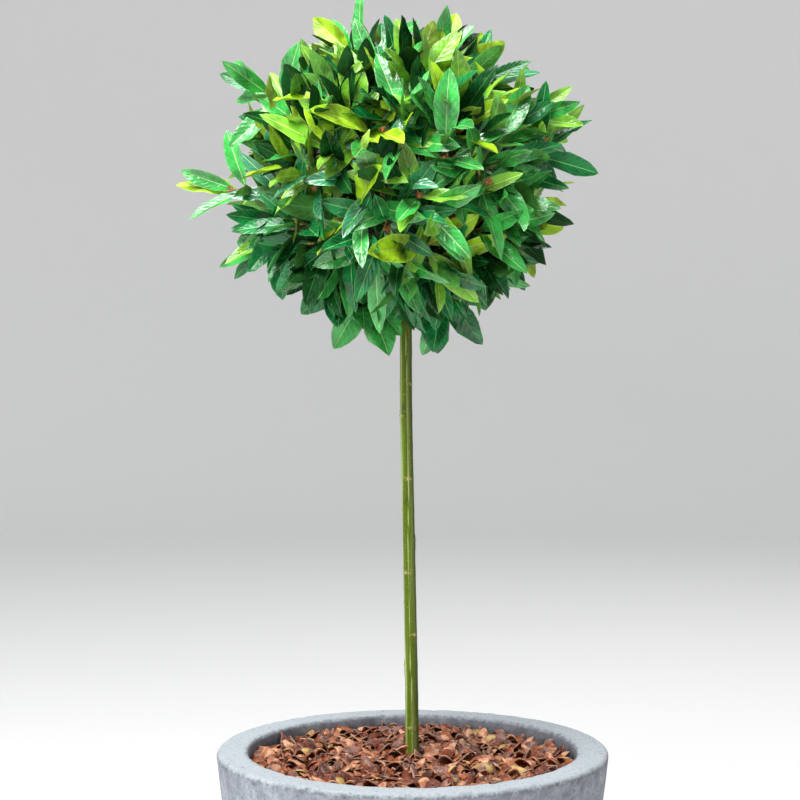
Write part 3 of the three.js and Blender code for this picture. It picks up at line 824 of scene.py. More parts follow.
def scatterTree():
    # shells dealt over a bed: kept apart, slanted, turned and lifted at random
    inputs = {
        "Bed": "Geometry",
        "Shell": "Object",
        "Finish": "Material",
        "Spacing": "Float",
        "Smallest": "Float",
        "Largest": "Float",
        "Slant": "Float",
        "Lift": "Float",
        "Stem Gap": "Float",
        "Seed": "Int",
    }
    tree, sockets, given = geometryTree("scatteredShells", inputs, "Mulch")
    seed = given["Seed"]
    spacing = {"Mesh": given["Bed"], "Distance Min": given["Spacing"], "Density Max": 60000.0, "Seed": seed}
    scattered = addNode(tree, "GeometryNodeDistributePointsOnFaces", spacing, distribute_method="POISSON")
    position = addNode(tree, "GeometryNodeInputPosition").outputs[0]
    level = {0: position, 1: (1, 1, 0)}
    flat = addNode(tree, "ShaderNodeVectorMath", level, operation="MULTIPLY").outputs[0]
    distance = addNode(tree, "ShaderNodeVectorMath", {0: flat}, operation="LENGTH").outputs["Value"]
    closeBy = {0: distance, 1: given["Stem Gap"]}
    near = addNode(tree, "FunctionNodeCompare", closeBy, operation="LESS_THAN").outputs[0]
    inGap = {"Geometry": scattered.outputs[0], "Selection": near}
    kept = addNode(tree, "GeometryNodeDeleteGeometry", inGap).outputs[0]
    slant, back = given["Slant"], times(tree, given["Slant"], -1.0)
    lowest = addNode(tree, "ShaderNodeCombineXYZ", {0: back, 1: back, 2: 0.0}).outputs[0]
    highest = addNode(tree, "ShaderNodeCombineXYZ", {0: slant, 1: slant, 2: 6.2832}).outputs[0]
    turns = {0: lowest, 1: highest, "Seed": seed}
    turn = addNode(tree, "FunctionNodeRandomValue", turns, data_type="FLOAT_VECTOR").outputs[0]
    size = randomFrom(tree, given["Smallest"], given["Largest"], mathNode(tree, "ADD", seed, 7.0))
    lift = randomFrom(tree, 0.0, given["Lift"], mathNode(tree, "ADD", seed, 13.0))
    raised = addNode(tree, "ShaderNodeCombineXYZ", {0: 0.0, 1: 0.0, 2: lift}).outputs[0]
    lifted = addNode(tree, "GeometryNodeSetPosition", {"Geometry": kept, "Offset": raised}).outputs[0]
    shell = addNode(tree, "GeometryNodeObjectInfo", {"Object": given["Shell"], "As Instance": True})
    dealOut(tree, lifted, shell.outputs["Geometry"], turn, size, given["Finish"], "Mulch")
    return tree, sockets


def bedMesh(name, sunk, outer, closed, finish=None):
    # the mulch's surface as rings, heaped a little towards the stem
    s = mulchSizes
    sides, rings = s["segments"], s["rings"]
    points = turnedProfile([(r, mulchHeight(r) - sunk) for r in np.linspace(0.5, outer, rings)], sides)
    waveLength, waveSeed, waveHeight = s["waves"]
    points[:, 2] += ripples(points, waveLength, waveSeed) * waveHeight
    triangles = [fan(0, sides)]
    if closed:
        foot = turnedProfile([(outer - 1, s["soilTop"] + 0.4)], sides)
        points = np.concatenate([points, foot])
        triangles.append(turnedOver(fan(rings * sides, sides)))
        rings += 1
    faces = [turnedOver(ringQuads(rings, sides)), np.concatenate(triangles)]
    return meshPiece(name, points, faces, [finish] if finish else [])


def buildMulch():
    s = mulchSizes
    bedEdge = wallInside(s["atWall"])
    # the bed between the shells is made very dark: partly crumbs, partly painted shade in the gaps between
    # the shells
    crumbs = shellMaterial("paintedShadeCrumbs", tone(42, 12, 3), tone(74, 28, 11))
    bed = bedMesh("mulch_bed", s["bedSunk"], bedEdge - s["inset"], True, crumbs)
    finished(bed, "shell", "shell_mulch")
    tree, sockets = scatterTree()
    for name, share, ground, cloud, seed in shellTints:
        emitter = bedMesh("shell_emitter", s["bedSunk"] * s["emitterSunk"], bedEdge - s["wallGap"], False)
        shell = shellShape("one_shell", seed)
        values = {
            "Shell": shell,
            "Finish": shellMaterial(name + "Shell", ground, cloud),
            "Spacing": s["spacing"] * share * mm,
            "Smallest": s["smallest"],
            "Largest": s["largest"],
            "Slant": s["slant"],
            "Lift": s["lift"] * mm,
            "Stem Gap": s["stemGap"] * mm,
            "Seed": seed,
        }
        piece = grownPiece("shells_" + name, emitter, tree, sockets, values)
        bpy.data.objects.remove(shell)
        finished(piece, "shell", "shell_mulch")
        print("mulch", name + ":", len(piece.data.polygons), "faces")


buildMulch()


# stem and boughs
stemTop = 992
stemLine = [
    (0, 0, 318.3),
    (-0.8, 0.6, 403),
    (-3.3, 1.4, 538),
    (-6.6, -0.8, 700),
    (-7.2, -1.2, 790),
    (-10.5, 0.4, 860),
    (-14, 0, stemTop),
]
stemRadii = [
    (318, 9.2),
    (330, 7.6),
    (346, 6.8),
    (550, 6.2),
    (790, 5.9),
    (850, 5.6),
    (885, 4.6),
    (915, 3.6),
    (stemTop, 2.6),
]
scarSizes = {
    "count": 13,
    "lowest": 372,
    "spacing": 32,
    "first": 262,
    "turn": 137.5,
    "halfWidth": 2.0,
    "halfHeight": 1.2,
    "proud": 1.1,
    "swelling": 0.16,
    "lineHeight": 0.6,
    "lineReach": 1.1,
    "lineDepth": 0.16,
    "under": (0.55, 6),  # the swelling under a scar: how proud, and how far below and how high
    "bud": (0.7, 4, 1.5, 1.6),  # over a scar: how proud, how far above, half its width and height
    "dot": (0.4, 0.9),  # in the middle of a scar: how far above it, and half its width
    "sag": 0.05,
    "underShare": 0.7,
    "lineSway": (0.5, 3),
    "lineEnd": 0.5,
    "swellingHeight": 5,
    "ridgeMark": 0.95,
    "lineMark": 0.35,
}
stemBands = {
    # long bands up the stem: degrees round it from +X, and half the band's spread in degrees; the pale bands
    # are painted highlight lines and the shade bands are painted shade
    "pale": [(200, 14), (270, 3), (75, 10)],
    "grey": [(298, 11), (118, 14)],
    "shade": [(342, 22), (160, 10), (35, 16)],
}
stemMesh = {
    "sides": 44,
    "ringSpacing": 1.5,
    "ribs": 0.14,
    "ribCount": 5,
    "ribSway": 2.2,
    "ribWaves": 14,
    "ribStretch": 0.6,
    "relief": 0.12,
    "reliefWaves": 9,
    "sampleRadius": 6,  # the relief is read round this circle, and squeezed in height
    "sampleRise": 0.035,
    "seed": 5,
    "blush": (352, 338),
    "blushShare": 0.8,
}
barkLook = {
    "ground": tone(82, 102, 2),
    # light paints the pale bands, which are painted highlight lines, as well as the real pale streaks; dark
    # paints the shade bands, which are painted shade, as well as the real mottle and streaks
    "light": tone(190, 204, 132),
    "dark": tone(46, 62, 2),
    "grey": tone(112, 112, 74),
    "scar": tone(206, 186, 134),
    "dot": tone(74, 58, 36),
    "speck": tone(184, 188, 140),
    "blush": tone(112, 98, 78),
    "twig": tone(104, 104, 52),
}
barkSteps = {
    # scale, low and high
    "broad": (26.0, 0.55, 0.8),
    # scale, stretch, low and high
    "pale": (520.0, 0.014, 0.54, 0.7),
    "deep": (240.0, 0.008, 0.5, 0.6),
    # scale, size and share
    "specks": (560.0, 0.42, 0.2),
    # scale and detail
    "grain": (900.0, 3.0),
}
barkShares = {
    # how strongly each shows: first the bands, then the fine streaks and specks
    "grey": 0.7,
    "shade": 0.9,
    "pale": 0.75,
    "deepStreaks": 0.3,
    "paleStreaks": 0.16,
    "specks": 0.6,
    "ribs": 0.6,
}
crownSizes = {
    "centre": np.array([-14.0, 0.0, 932.0]),
    "across": 178,
    "up": 160,
    "unevenness": 0.06,
    "scatter": 0.06,
    "limbReach": 64,
    "groupSize": 3.5,
    "rise": 0.4,  # how far the tufts turn up to the light
    "riseFrom": -0.75,  # from this height of a shoot's direction
    "riseTo": 0.0,
    "shoots": 100,
    "frontRadius": 122,
    "slack": 0.6,  # how far leaves may pass the crown's reach, as a share of its unevenness
    "ownCone": 0.975,  # this near to its shoot's direction a leaf may go to the shoot's reach
    "ownSlack": 2,
    "seed": 1907,
    "seedStep": 101,
}
# across and up from the crown's centre
frontShoots = [(-94, 0), (-19, 42), (22, -20), (60, -91), (96, -65)]
longShoots = [
    # degrees in the front plane from +X, reach of the leaves, tint of the longest leaf
    (13, 208, "fresh"),
    (24, 203, "glossy"),
    (48, 187, "bluish"),
    (70, 177, "lime"),
    (111, 190, "lime"),
    (148, 216, "deep"),
    (184, 226, "lime"),
    (205, 203, "glossy"),
    (257, 188, "glossy"),
    (288, 192, "glossy"),
    (327, 176, "deep"),
]
boughSizes = {
    "rootRadius": 3.8,
    "tipRadius": 2.5,
    "rise": 12,
    "steps": 26,
    "sides": 18,
    "collar": 2.2,
    "collarFall": 9,
    "knuckles": (0.25, 19, 8),  # height, spacing and sharpness
    "relief": 0.18,
    "reliefWaves": 7,
    "seed": 17,
}
boughRings = [
    # level, elevation, first turn, lowest root, step between roots, sides
    ("upper", 20, 45, 896, 7, ["back_right", "back_left", "front_left", "front_right"]),
    ("lower", -30, 0, 858, 7, ["right", "back", "left", "front"]),
]


def stemTable():
    # the centre line as a centripetal Catmull-Rom curve, read off by height
    given = [np.array(p, float) for p in stemLine]
    points = [2 * given[0] - given[1], *given, 2 * given[-1] - given[-2]]
    samples = []
    for a, b, c, d in zip(points, points[1:], points[2:], points[3:]):
        before, here, after = (np.linalg.norm(q - p) ** 0.5 for p, q in ((a, b), (b, c), (c, d)))
        leaving = ((b - a) / before - (c - a) / (before + here) + (c - b) / here) * here
        arriving = ((c - b) / here - (d - b) / (here + after) + (d - c) / after) * here
        for t in np.linspace(0, 1, 120):
            samples.append(
                b
                + leaving * t
                + (-3 * b + 3 * c - 2 * leaving - arriving) * t * t
                + (2 * b - 2 * c + leaving + arriving) * t**3
            )
    return np.array(samples)


stemSamples = stemTable()


def stemAt(height):
    heights = stemSamples[:, 2]
    x, y = (np.interp(height, heights, stemSamples[:, i]) for i in (0, 1))
    return np.stack([x, y, np.asarray(height, float) + 0 * x], -1)


def plannedMasses():
    masses = [{"name": "top", "heading": up.copy(), "root": None}]
    for level, elevation, turn, root, step, sides in boughRings:
        for i, side in enumerate(sides):
            a, e = math.radians(turn + 90 * i), math.radians(elevation)
            heading = np.array([math.cos(a) * math.cos(e), math.sin(a) * math.cos(e), math.sin(e)])
            height = root + ((i * 3) % 4) * step
            masses.append({"name": f"{level}_{side}", "heading": heading, "root": height})
    return masses


def curve(start, bend, end, steps):
    t = np.linspace(0, 1, steps + 1)[:, None]
    return start * (1 - t) ** 2 + bend * 2 * t * (1 - t) + end * t * t


def boughPoints(mass, steps):
    start = stemAt(mass["root"])
    end = crownSizes["centre"] + mass["heading"] * crownSizes["limbReach"]
    outward = unit(mass["heading"] * np.array([1, 1, 0]))
    bend = start + outward * np.linalg.norm(end - start) * 0.5 + up * boughSizes["rise"]
    return curve(start, bend, end, steps)


def barkMaterial(name, ground, light, dark):
    look, steps, share = barkLook, barkSteps, barkShares
    material, tree, shader, place = newMaterial(name, {"Specular IOR Level": 0.2, "Roughness": 0.5})
    broad = mottled(tree, place, *steps["broad"], ground, dark)["Colour"]
    pale = streaked(tree, place, *steps["pale"])
    deep = streaked(tree, place, *steps["deep"])
    specks = pitted(tree, place, *steps["specks"])
    colour = laidOver(tree, broad, deep, share["deepStreaks"], dark)
    # the grey band, then the shade band, which is painted shade, and the pale band, which is a painted
    # highlight line
    for band, layer in (("grey", look["grey"]), ("shade", dark), ("pale", light)):
        colour = laidOver(tree, colour, markOn(tree, band), share[band], layer)
    colour = laidOver(tree, colour, pale, share["paleStreaks"], light)
    colour = laidOver(tree, colour, specks, share["specks"], look["speck"])
    for mark in ("blush", "scar", "dot"):
        colour = mixColour(tree, markOn(tree, mark), colour, look[mark])
    tree.links.new(colour, shader.inputs["Base Color"])
    grain = noiseAt(tree, place, *steps["grain"])
    addBump(tree, shader, 0.35, 0.0004, mathNode(tree, "ADD", times(tree, pale, share["ribs"]), grain))
    return material


def unmarked(points):
    return {name: np.zeros(len(points)) for name in ("scar", "dot", "blush", *stemBands)}


def turnFrom(turn, facing):
    # from minus to plus half a turn
    return (turn - facing + math.pi) % (2 * math.pi) - math.pi


def stemScars(height, turn, base):
    # how far each point stands out at the leaf scars, and the scars' marks
    s = scarSizes
    proud, scar, dot = (np.zeros(len(height)) for _ in range(3))
    underProud, underFall = s["under"]
    budProud, budRise, budAcross, budUp = s["bud"]
    sway, waves = s["lineSway"]
    for i in range(s["count"]):
        level = s["lowest"] + i * s["spacing"]
        aside = turnFrom(turn, math.radians(s["first"] + i * s["turn"]))
        arc = aside * base
        rise = height - level + s["sag"] * arc * arc
        ridge = bell(arc, s["halfWidth"], 4) * bell(rise, s["halfHeight"])
        under = bell(arc, s["halfWidth"] * s["underShare"]) * bell(rise + underFall, underFall)
        bud = bell(arc, budAcross) * bell(rise - budRise, budUp)
        line = bell(height - level + sway * np.sin(aside * waves), s["lineHeight"])
        line = line * smoothStep(s["lineReach"], s["lineReach"] * s["lineEnd"], np.abs(aside))
        proud += s["proud"] * ridge + underProud * under + budProud * bud
        proud += s["swelling"] * bell(height - level, s["swellingHeight"])
        proud -= s["lineDepth"] * line * (1 - ridge)
        scar = np.maximum(scar, np.maximum(ridge * s["ridgeMark"], line * s["lineMark"]))
        dot = np.maximum(dot, bell(arc, s["dot"][1]) * bell(rise - s["dot"][0], s["dot"][1]))
    return proud, {"scar": scar, "dot": dot}


bandShape = {
    # amount and length of each wave up the stem
    "slowSway": (0.16, 61),
    "quickSway": (0.06, 17),
    "fade": (0.25, 29),
}


def bandShare(height, turn, bands):
    # long uneven bands that sway as they climb
    share = np.zeros(len(height))
    for facing, halfSpread in bands:
        waves = [amount * np.sin(height / length + facing) for amount, length in bandShape.values()]
        slow, quick, fade = waves
        aside = turnFrom(turn + (slow + quick), math.radians(facing))
        strength = 1 - bandShape["fade"][0] + fade
        share = np.maximum(share, strength * bell(aside, math.radians(halfSpread), 3))
    return share


def buildStem(bark):
    m = stemMesh
    heights = np.append(np.arange(stemLine[0][2], stemTop, m["ringSpacing"]), stemTop)
    turns = np.arange(m["sides"]) * 2 * math.pi / m["sides"]
    height, turn = (g.ravel() for g in np.meshgrid(heights, turns, indexing="ij"))
    base = along(stemRadii, height)
    circle = m["sampleRadius"]
    sample = np.stack([np.cos(turn) * circle, np.sin(turn) * circle, height * m["sampleRise"]], 1)
    radius = base + m["relief"] * ripples(sample, m["reliefWaves"], m["seed"])
    sway = ripples(sample * m["ribStretch"], m["ribWaves"], m["seed"] + 1) * m["ribSway"]
    radius += m["ribs"] * np.sin(turn * m["ribCount"] + sway)
    proud, marks = stemScars(height, turn, base)
    radius += proud
    marks["blush"] = m["blushShare"] * smoothStep(*m["blush"], height)
    # the bands by angle round the stem: the pale ones are painted highlight lines, the shade ones painted
    # shade
    marks.update({name: bandShare(height, turn, bands) for name, bands in stemBands.items()})
    around = np.stack([np.cos(turn), np.sin(turn), np.zeros(len(turn))], 1)
    points = stemAt(height) + around * radius[:, None]
    faces = tubeFaces(len(heights), m["sides"])
    piece = meshPiece("stem", points, faces, [bark], marks=marks, sharpAngle=60)
    finished(piece, "bark", "trunk")
    print("stem:", len(piece.data.polygons), "faces")


def buildBoughs(masses, bark):
    b = boughSizes
    proud, spacing, sharpness = b["knuckles"]
    rooted = [mass for mass in masses if mass["root"] is not None]
    shares = np.linspace(0, 1, b["steps"] + 1)
    limbs = []
    for mass in rooted:
        radii = b["rootRadius"] + (b["tipRadius"] - b["rootRadius"]) * shares
        radii = radii + b["collar"] * np.exp(-shares * b["collarFall"])
        radii = radii + proud * np.sin(shares * spacing + mass["root"]) ** sharpness
        limbs.append(tube(boughPoints(mass, b["steps"]), radii, b["sides"]))
    points, faces = joined(limbs)
    lift = ripples(points, b["reliefWaves"], b["seed"]) * b["relief"]
    points = points + np.stack([lift, np.roll(lift, 5), np.zeros(len(lift))], 1)
    piece = meshPiece("boughs", points, faces, [bark], marks=unmarked(points), sharpAngle=60)
    finished(piece, "bark", *["bough_" + mass["name"] for mass in rooted])
    print("boughs:", len(piece.data.polygons), "faces")


masses = plannedMasses()
stemBark = barkMaterial("stemBark", barkLook["ground"], barkLook["light"], barkLook["dark"])
buildStem(stemBark)
buildBoughs(masses, stemBark)


# shoots, twigs and leaves
twigSizes = {
    "forkAt": 76,
    "nodeAt": 85,
    "tipInside": 58,
    "stemRadius": 2.4,
    "tipRadius": 1.05,
    "sideRadius": 0.95,
    "sides": 6,
    "forkTaper": 0.9,
    "shootRoot": 0.75,  # a shoot's radius where it starts, as a share of the stem's
    "shootSteps": 7,
    "towardMiddle": 0.5,  # how far the shoots of a group fork toward the middle of their mass
    "sideTwigs": 2,
    "sideFrom": 0.3,  # where along a shoot they start, and over how much of it they stand
    "sideSpan": 0.55,
    "sideJitter": 0.7,
    "sideTurn": 2.1,
    "sideLength": (16, 32),
    "sideTilt": (32, 62),
    "sideInside": 54,
    "sideBow": 1.5,
    "sideFlare": 1.15,
    "sideSteps": 4,
}
leafSizes = {
    "length": 80,
    "lengthShare": (0.74, 1.1),
    "sideShare": (0.74, 1.04),  # of the leaves on side twigs
    "width": (0.21, 0.33),  # as a share of the length
    "youngWidth": 1.35,
    "hangingWidth": 1.65,
    "hangingBelow": -0.8,
    "tipLeaves": 7,
    "smallLeaves": 2,
    "smallSize": 0.76,
    "smallStep": 0.13,
    "sideLeaves": 2,
    "sideFirst": 20,
    "sideStep": 15,
    "sideLeast": 6,
    "sideBelow": 1,
    "sideSpacing": 3.4,
    "sideDroop": 0.04,
    # the first side twig's dark inner tint is partly painted shade inside the crown
    "sameTint": 0.7,  # a shoot's first side twig is dark, and this share of the others has the spray's tint
    "deeperBelow": 0.55,
    "firstTilt": 24,
    "leastTilt": 4,
    "longLeaves": 3,
    "longTilt": 3,
    "longStep": 11,
    "longShorter": 0.04,
    "droop": 0.02,
    "openTilt": 58,  # in place of the first tilt on the open shoots of the front
    "openFrom": -0.6,
    "tiltStep": 8.0,
    "openStep": 4.5,
    "lift": 0.4,  # how far leaves of the upper half turn up
    "liftFrom": -0.55,  # from this height of a shoot's direction
    "liftTo": 0.25,
    "shorter": 0.88,  # how a leaf that goes past the crown's reach is cut down
    "tries": 3,
    "young": (0.27, 0.62),  # share of the sprays with young leaves, away from the light and in it
    "mostYoung": 3,
    "sunnyAbove": 0.35,  # from this height of a shoot's direction, and lower down on the left side
    "leftAbove": -0.1,
    "leftOf": -0.35,
    "budded": 0.7,  # share of the shoots that show their buds
    "sideBudded": 0.15,
    "tiltSpread": 13,
    "below": 2,
    "spacing": 3.6,
    "bend": (0.06, 0.55),
    "fold": (0.12, 0.55),
    "wave": (0.6, 2.2),
    "twist": 0.6,
    "stalk": tone(196, 164, 100),
    "light": np.array([-0.35, -0.75, 1.0]),
    "front": np.array([-0.2, -1.0, 0.25]),  # which way the long leaves face
    "lightTurn": 0.9,  # how far a leaf turns its face outward and to the light
    "thickness": 0.5,
    "stemGap": 2.5,
    "innerLimit": 55,
}
leafStations = np.array([0.05, 0.11, 0.2, 0.34, 0.5, 0.66, 0.81, 0.93])
leafHalves = np.array([0.035, 0.055, 0.22, 0.41, 0.5, 0.48, 0.36, 0.18])
leafTints = {
    # share of the sprays, upper side, underside, midrib, shine
    # inner: older, darker leaves, also made dark as painted shade inside the crown
    "inner": (0.0, tone(8, 60, 20), tone(20, 72, 24), tone(56, 108, 48), 0.15),
    "deep": (0.28, tone(8, 106, 50), tone(66, 130, 50), tone(110, 176, 96), 0.45),
    "glossy": (0.34, tone(50, 160, 66), tone(100, 162, 64), tone(160, 206, 126), 0.85),
    "fresh": (0.22, tone(118, 184, 48), tone(146, 180, 66), tone(200, 220, 124), 0.55),
    "bluish": (0.16, tone(40, 126, 82), tone(108, 160, 98), tone(164, 210, 154), 1.1),
    "lime": (0.0, tone(150, 196, 30), tone(152, 188, 48), tone(212, 232, 112), 0.3),
}


def crownReach(direction):
    level = np.hypot(direction[..., 0], direction[..., 1]) / crownSizes["across"]
    return 1 / np.hypot(level, direction[..., 2] / crownSizes["up"])


def newShoot(index, direction, reach, isOpen):
    return {"index": index, "direction": direction, "reach": reach, "long": False, "open": isOpen}


def plannedShoots():
    c = crownSizes
    draw = seededStream(c["seed"])
    shoots = []
    for i in range(c["shoots"]):
        z = 1 - 2 * (i + 0.5) / c["shoots"]
        level = math.sqrt(1 - z * z)
        x = level * math.cos(i * goldenAngle) + c["scatter"] * (draw() - 0.5)
        y = level * math.sin(i * goldenAngle) + c["scatter"] * (draw() - 0.5)
        direction = unit(np.array([x, y, z + c["scatter"] * (draw() - 0.5)]))
        reach = crownReach(direction) * (1 + c["unevenness"] * (2 * draw() - 1))
        shoots.append(newShoot(i, direction, reach, direction[1] < leafSizes["openFrom"]))
    for angle, reach, tint in longShoots:
        direction = np.array([math.cos(math.radians(angle)), 0, math.sin(math.radians(angle))])
        free = [shoot for shoot in shoots if not shoot["long"]]
        nearest = max(free, key=lambda shoot: np.dot(shoot["direction"], direction))
        nearest.update(direction=direction, reach=reach, long=True, tint=tint)
    for i, (across, rise) in enumerate(frontShoots):
        direction = unit(np.array([across, -math.sqrt(c["frontRadius"] ** 2 - across**2 - rise**2), rise]))
        shoots.append(newShoot(c["shoots"] + i, direction, crownReach(direction), True))
    return shoots


def tuftAxis(shoot, stalk):
    if shoot["long"]:
        return stalk
    share = smoothStep(crownSizes["riseFrom"], crownSizes["riseTo"], shoot["direction"][2])
    return unit(stalk + up * crownSizes["rise"] * share)


def groupsOf(shoots, mass):
    heading = mass["heading"]
    level = np.array([1.0, 0, 0]) if abs(heading[2]) > 0.9 else up
    right = unit(np.cross(level, heading))
    upward = np.cross(heading, right)
    ordered = sorted(
        shoots, key=lambda s: math.atan2(np.dot(s["direction"], upward), np.dot(s["direction"], right))
    )
    count = max(1, math.floor(len(ordered) / crownSizes["groupSize"] + 0.5))
    edges = [math.floor(g * len(ordered) / count + 0.5) for g in range(count + 1)]
    return [ordered[a:b] for a, b in zip(edges, edges[1:])]


def isClear(points):
    # off the stem and out of the crown's open middle
    offset = np.linalg.norm(points - crownSizes["centre"], axis=1)
    height = points[:, 2]
    stem = stemAt(np.clip(height, stemLine[0][2], stemTop))
    gap = np.hypot(points[:, 0] - stem[:, 0], points[:, 1] - stem[:, 1])
    nearStem = (gap < along(stemRadii, height) + leafSizes["stemGap"]) & (height < stemTop + 2)
    return bool((offset > leafSizes["innerLimit"]).all() and not nearStem.any())


def withinReach(tip, shoot):
    offset = tip - crownSizes["centre"]
    distance = np.linalg.norm(offset)
    limit = crownReach(offset / distance) * (1 + crownSizes["unevenness"] * crownSizes["slack"])
    near = np.dot(offset / distance, shoot["direction"])
    if near > crownSizes["ownCone"]:
        limit = max(limit, shoot["reach"] + crownSizes["ownSlack"])
    return distance < limit


def addLeaf(leaves, root, stalk, turn, tilt, length, tint, shoot, random, droop):
    # one leaf of a spray, if it keeps to the crown's space
    l = leafSizes
    around = turnedAbout(unit(np.cross(stalk, levelFor(stalk))), stalk, turn)
    lift = 0 if shoot["long"] else l["lift"] * smoothStep(l["liftFrom"], l["liftTo"], shoot["direction"][2])
    axis = unit(stalk * math.cos(tilt) + around * math.sin(tilt) + up * (lift - droop))
    upper = stalk * math.sin(tilt) - around * math.cos(tilt)
    upper = unit(upper - axis * np.dot(upper, axis))
    light = unit(l["light"] + unit(root - crownSizes["centre"]))
    if shoot["long"]:
        light = l["front"] * 3
    upper = unit(upper + (light - axis * np.dot(axis, light)) * l["lightTurn"])
    bend = between(l["bend"], random() ** 1.6)
    for _ in range(l["tries"]):
        tip = root + length * (axis * math.sin(bend) / bend - upper * (1 - math.cos(bend)) / bend)
        if withinReach(tip, shoot):
            break
        length *= l["shorter"]
    else:
        return
    middle = root + axis * length * 0.5
    broad = l["youngWidth"] if tint == "lime" else 1.0
    if shoot["long"] and shoot["direction"][2] < l["hangingBelow"]:
        broad = l["hangingWidth"]
    if not isClear(np.array([root + axis * 6, middle, tip])):
        return
    leaves.append(
        {
            "root": root,
            "axis": axis,
            "upper": upper,
            "length": length,
            "width": length * between(l["width"], random()) * broad,
            "bend": bend,
            "fold": between(l["fold"], random()),
            "wave": between(l["wave"], random()),
            "phase": roughTurn * random(),
            "twist": l["twist"] * (random() - 0.5) * 2,
            "tint": tint,
        }
    )


def tintOf(random, shoot):
    # low sprays are deeper than high ones
    share = random() * (1 - leafSizes["deeperBelow"] * max(0, -shoot["direction"][2]))
    for name, look in leafTints.items():
        share -= look[0]
        if share < 0:
            return name
    return "glossy"


def growTip(leaves, buds, shoot, tip, stalk, random):
    # the tuft at a shoot's end, in a spiral from its tip down
    l = leafSizes
    axis = tuftAxis(shoot, stalk)
    spray = tintOf(random, shoot)
    x, _, z = shoot["direction"]
    sunny = z > l["sunnyAbove"] or (x < l["leftOf"] and z > l["leftAbove"])
    young = random() < l["young"][1 if sunny else 0]
    firstTilt = l["openTilt"] if shoot["open"] else l["firstTilt"]
    tiltStep = l["openStep"] if shoot["open"] else l["tiltStep"]
    start = 2 * math.pi * random()
    youngLeaves = 1 + int(random() * l["mostYoung"]) if young else 0
    for k in range(l["tipLeaves"]):
        isSmall = k < l["smallLeaves"] and not shoot["long"]
        size = l["smallSize"] + l["smallStep"] * k if isSmall else 1.0
        length = l["length"] * between(l["lengthShare"], random()) * size
        tilt = firstTilt + tiltStep * k + l["tiltSpread"] * (random() * 2 - 1)
        tilt = math.radians(max(l["leastTilt"], tilt))
        root = tip - stalk * (l["below"] + l["spacing"] * k)
        tint = "lime" if k < youngLeaves else spray
        if k < l["longLeaves"] and shoot["long"]:
            tilt = math.radians(l["longTilt"] + l["longStep"] * k)
            room = shoot["reach"] - np.linalg.norm(root - crownSizes["centre"])
            length = room * (1 - l["longShorter"] * k)
            tint = shoot["tint"] if k == 0 else spray
        if k == youngLeaves and young:
            tint = "fresh"
        turn, droop = start + k * goldenAngle, l["droop"] * k
        addLeaf(leaves, root, axis, turn, tilt, length, tint, shoot, random, droop)
    if random() < l["budded"] or shoot["open"]:
        buds.append((tip, axis))
    return spray


def growSides(leaves, limbs, buds, shoot, points, spray, random):
    # short side twigs off the shoot, each with its own few leaves
    t, l = twigSizes, leafSizes
    for i in range(t["sideTwigs"]):
        share = t["sideFrom"] + t["sideSpan"] * (i + random() * t["sideJitter"]) / t["sideTwigs"]
        place = share * (len(points) - 1)
        low = min(int(place), len(points) - 2)
        root = points[low] + (points[low + 1] - points[low]) * (place - low)
        axis = unit(points[low + 1] - points[low])
        turn = t["sideTurn"] * i + roughTurn * random()
        around = turnedAbout(unit(np.cross(axis, levelFor(axis))), axis, turn)
        tilt = math.radians(between(t["sideTilt"], random()))
        heading = unit(axis * math.cos(tilt) + around * math.sin(tilt))
        tip = root + heading * between(t["sideLength"], random())
        offset = tip - crownSizes["centre"]
        room = crownReach(unit(offset)) - t["sideInside"]
        if np.linalg.norm(offset) > room:
            tip = crownSizes["centre"] + unit(offset) * room
            heading = unit(tip - root)
        if not isClear(np.array([tip])):
            continue
        middle = (root + tip) / 2 + axis * t["sideBow"]
        path = curve(root, middle, tip, t["sideSteps"])
        limbs.append((path, t["sideRadius"] * t["sideFlare"], t["sideRadius"]))
        # a shoot's first side twig takes the inner tint, dark partly as painted shade inside the crown
        tint = "inner" if i == 0 else spray if random() < l["sameTint"] else tintOf(random, shoot)
        start = 2 * math.pi * random()
        for k in range(l["sideLeaves"]):
            size = l["length"] * between(l["sideShare"], random())
            lean = l["sideFirst"] + l["sideStep"] * k + l["tiltSpread"] * (random() * 2 - 1)
            lean = math.radians(max(l["sideLeast"], lean))
            leafRoot = tip - heading * (l["sideBelow"] + l["sideSpacing"] * k)
            turn, droop = start + k * goldenAngle, l["sideDroop"] * k
            addLeaf(leaves, leafRoot, heading, turn, lean, size, tint, shoot, random, droop)
        if random() < l["sideBudded"]:
            buds.append((tip, heading))


def growCrown(masses, shoots):
    t = twigSizes
    leaves, limbs, buds = [], [], []
    centre = crownSizes["centre"]
    for mass in masses:
        own = [s for s in shoots if max(masses, key=lambda m: np.dot(m["heading"], s["direction"])) is mass]
        end = stemAt(stemTop) if mass["root"] is None else boughPoints(mass, boughSizes["steps"])[-1]
        fork = centre + mass["heading"] * t["forkAt"]
        path = curve(end, (end + fork) / 2, fork, 3)
        limbs.append((path, t["stemRadius"], t["stemRadius"] * t["forkTaper"]))
        for group in groupsOf(own, mass):
            mean = mass["heading"] * t["towardMiddle"] + np.mean([s["direction"] for s in group], axis=0)
            node = centre + unit(mean) * t["nodeAt"]
            for shoot in group:
                random = seededStream(crownSizes["seed"] + crownSizes["seedStep"] * (shoot["index"] + 1))
                tip = centre + shoot["direction"] * (shoot["reach"] - t["tipInside"])
                path = curve(fork, node, tip, t["shootSteps"])
                limbs.append((path, t["stemRadius"] * t["shootRoot"], t["tipRadius"]))
                spray = growTip(leaves, buds, shoot, tip, unit(tip - node), random)
                growSides(leaves, limbs, buds, shoot, path, spray, random)
    return leaves, limbs, buds


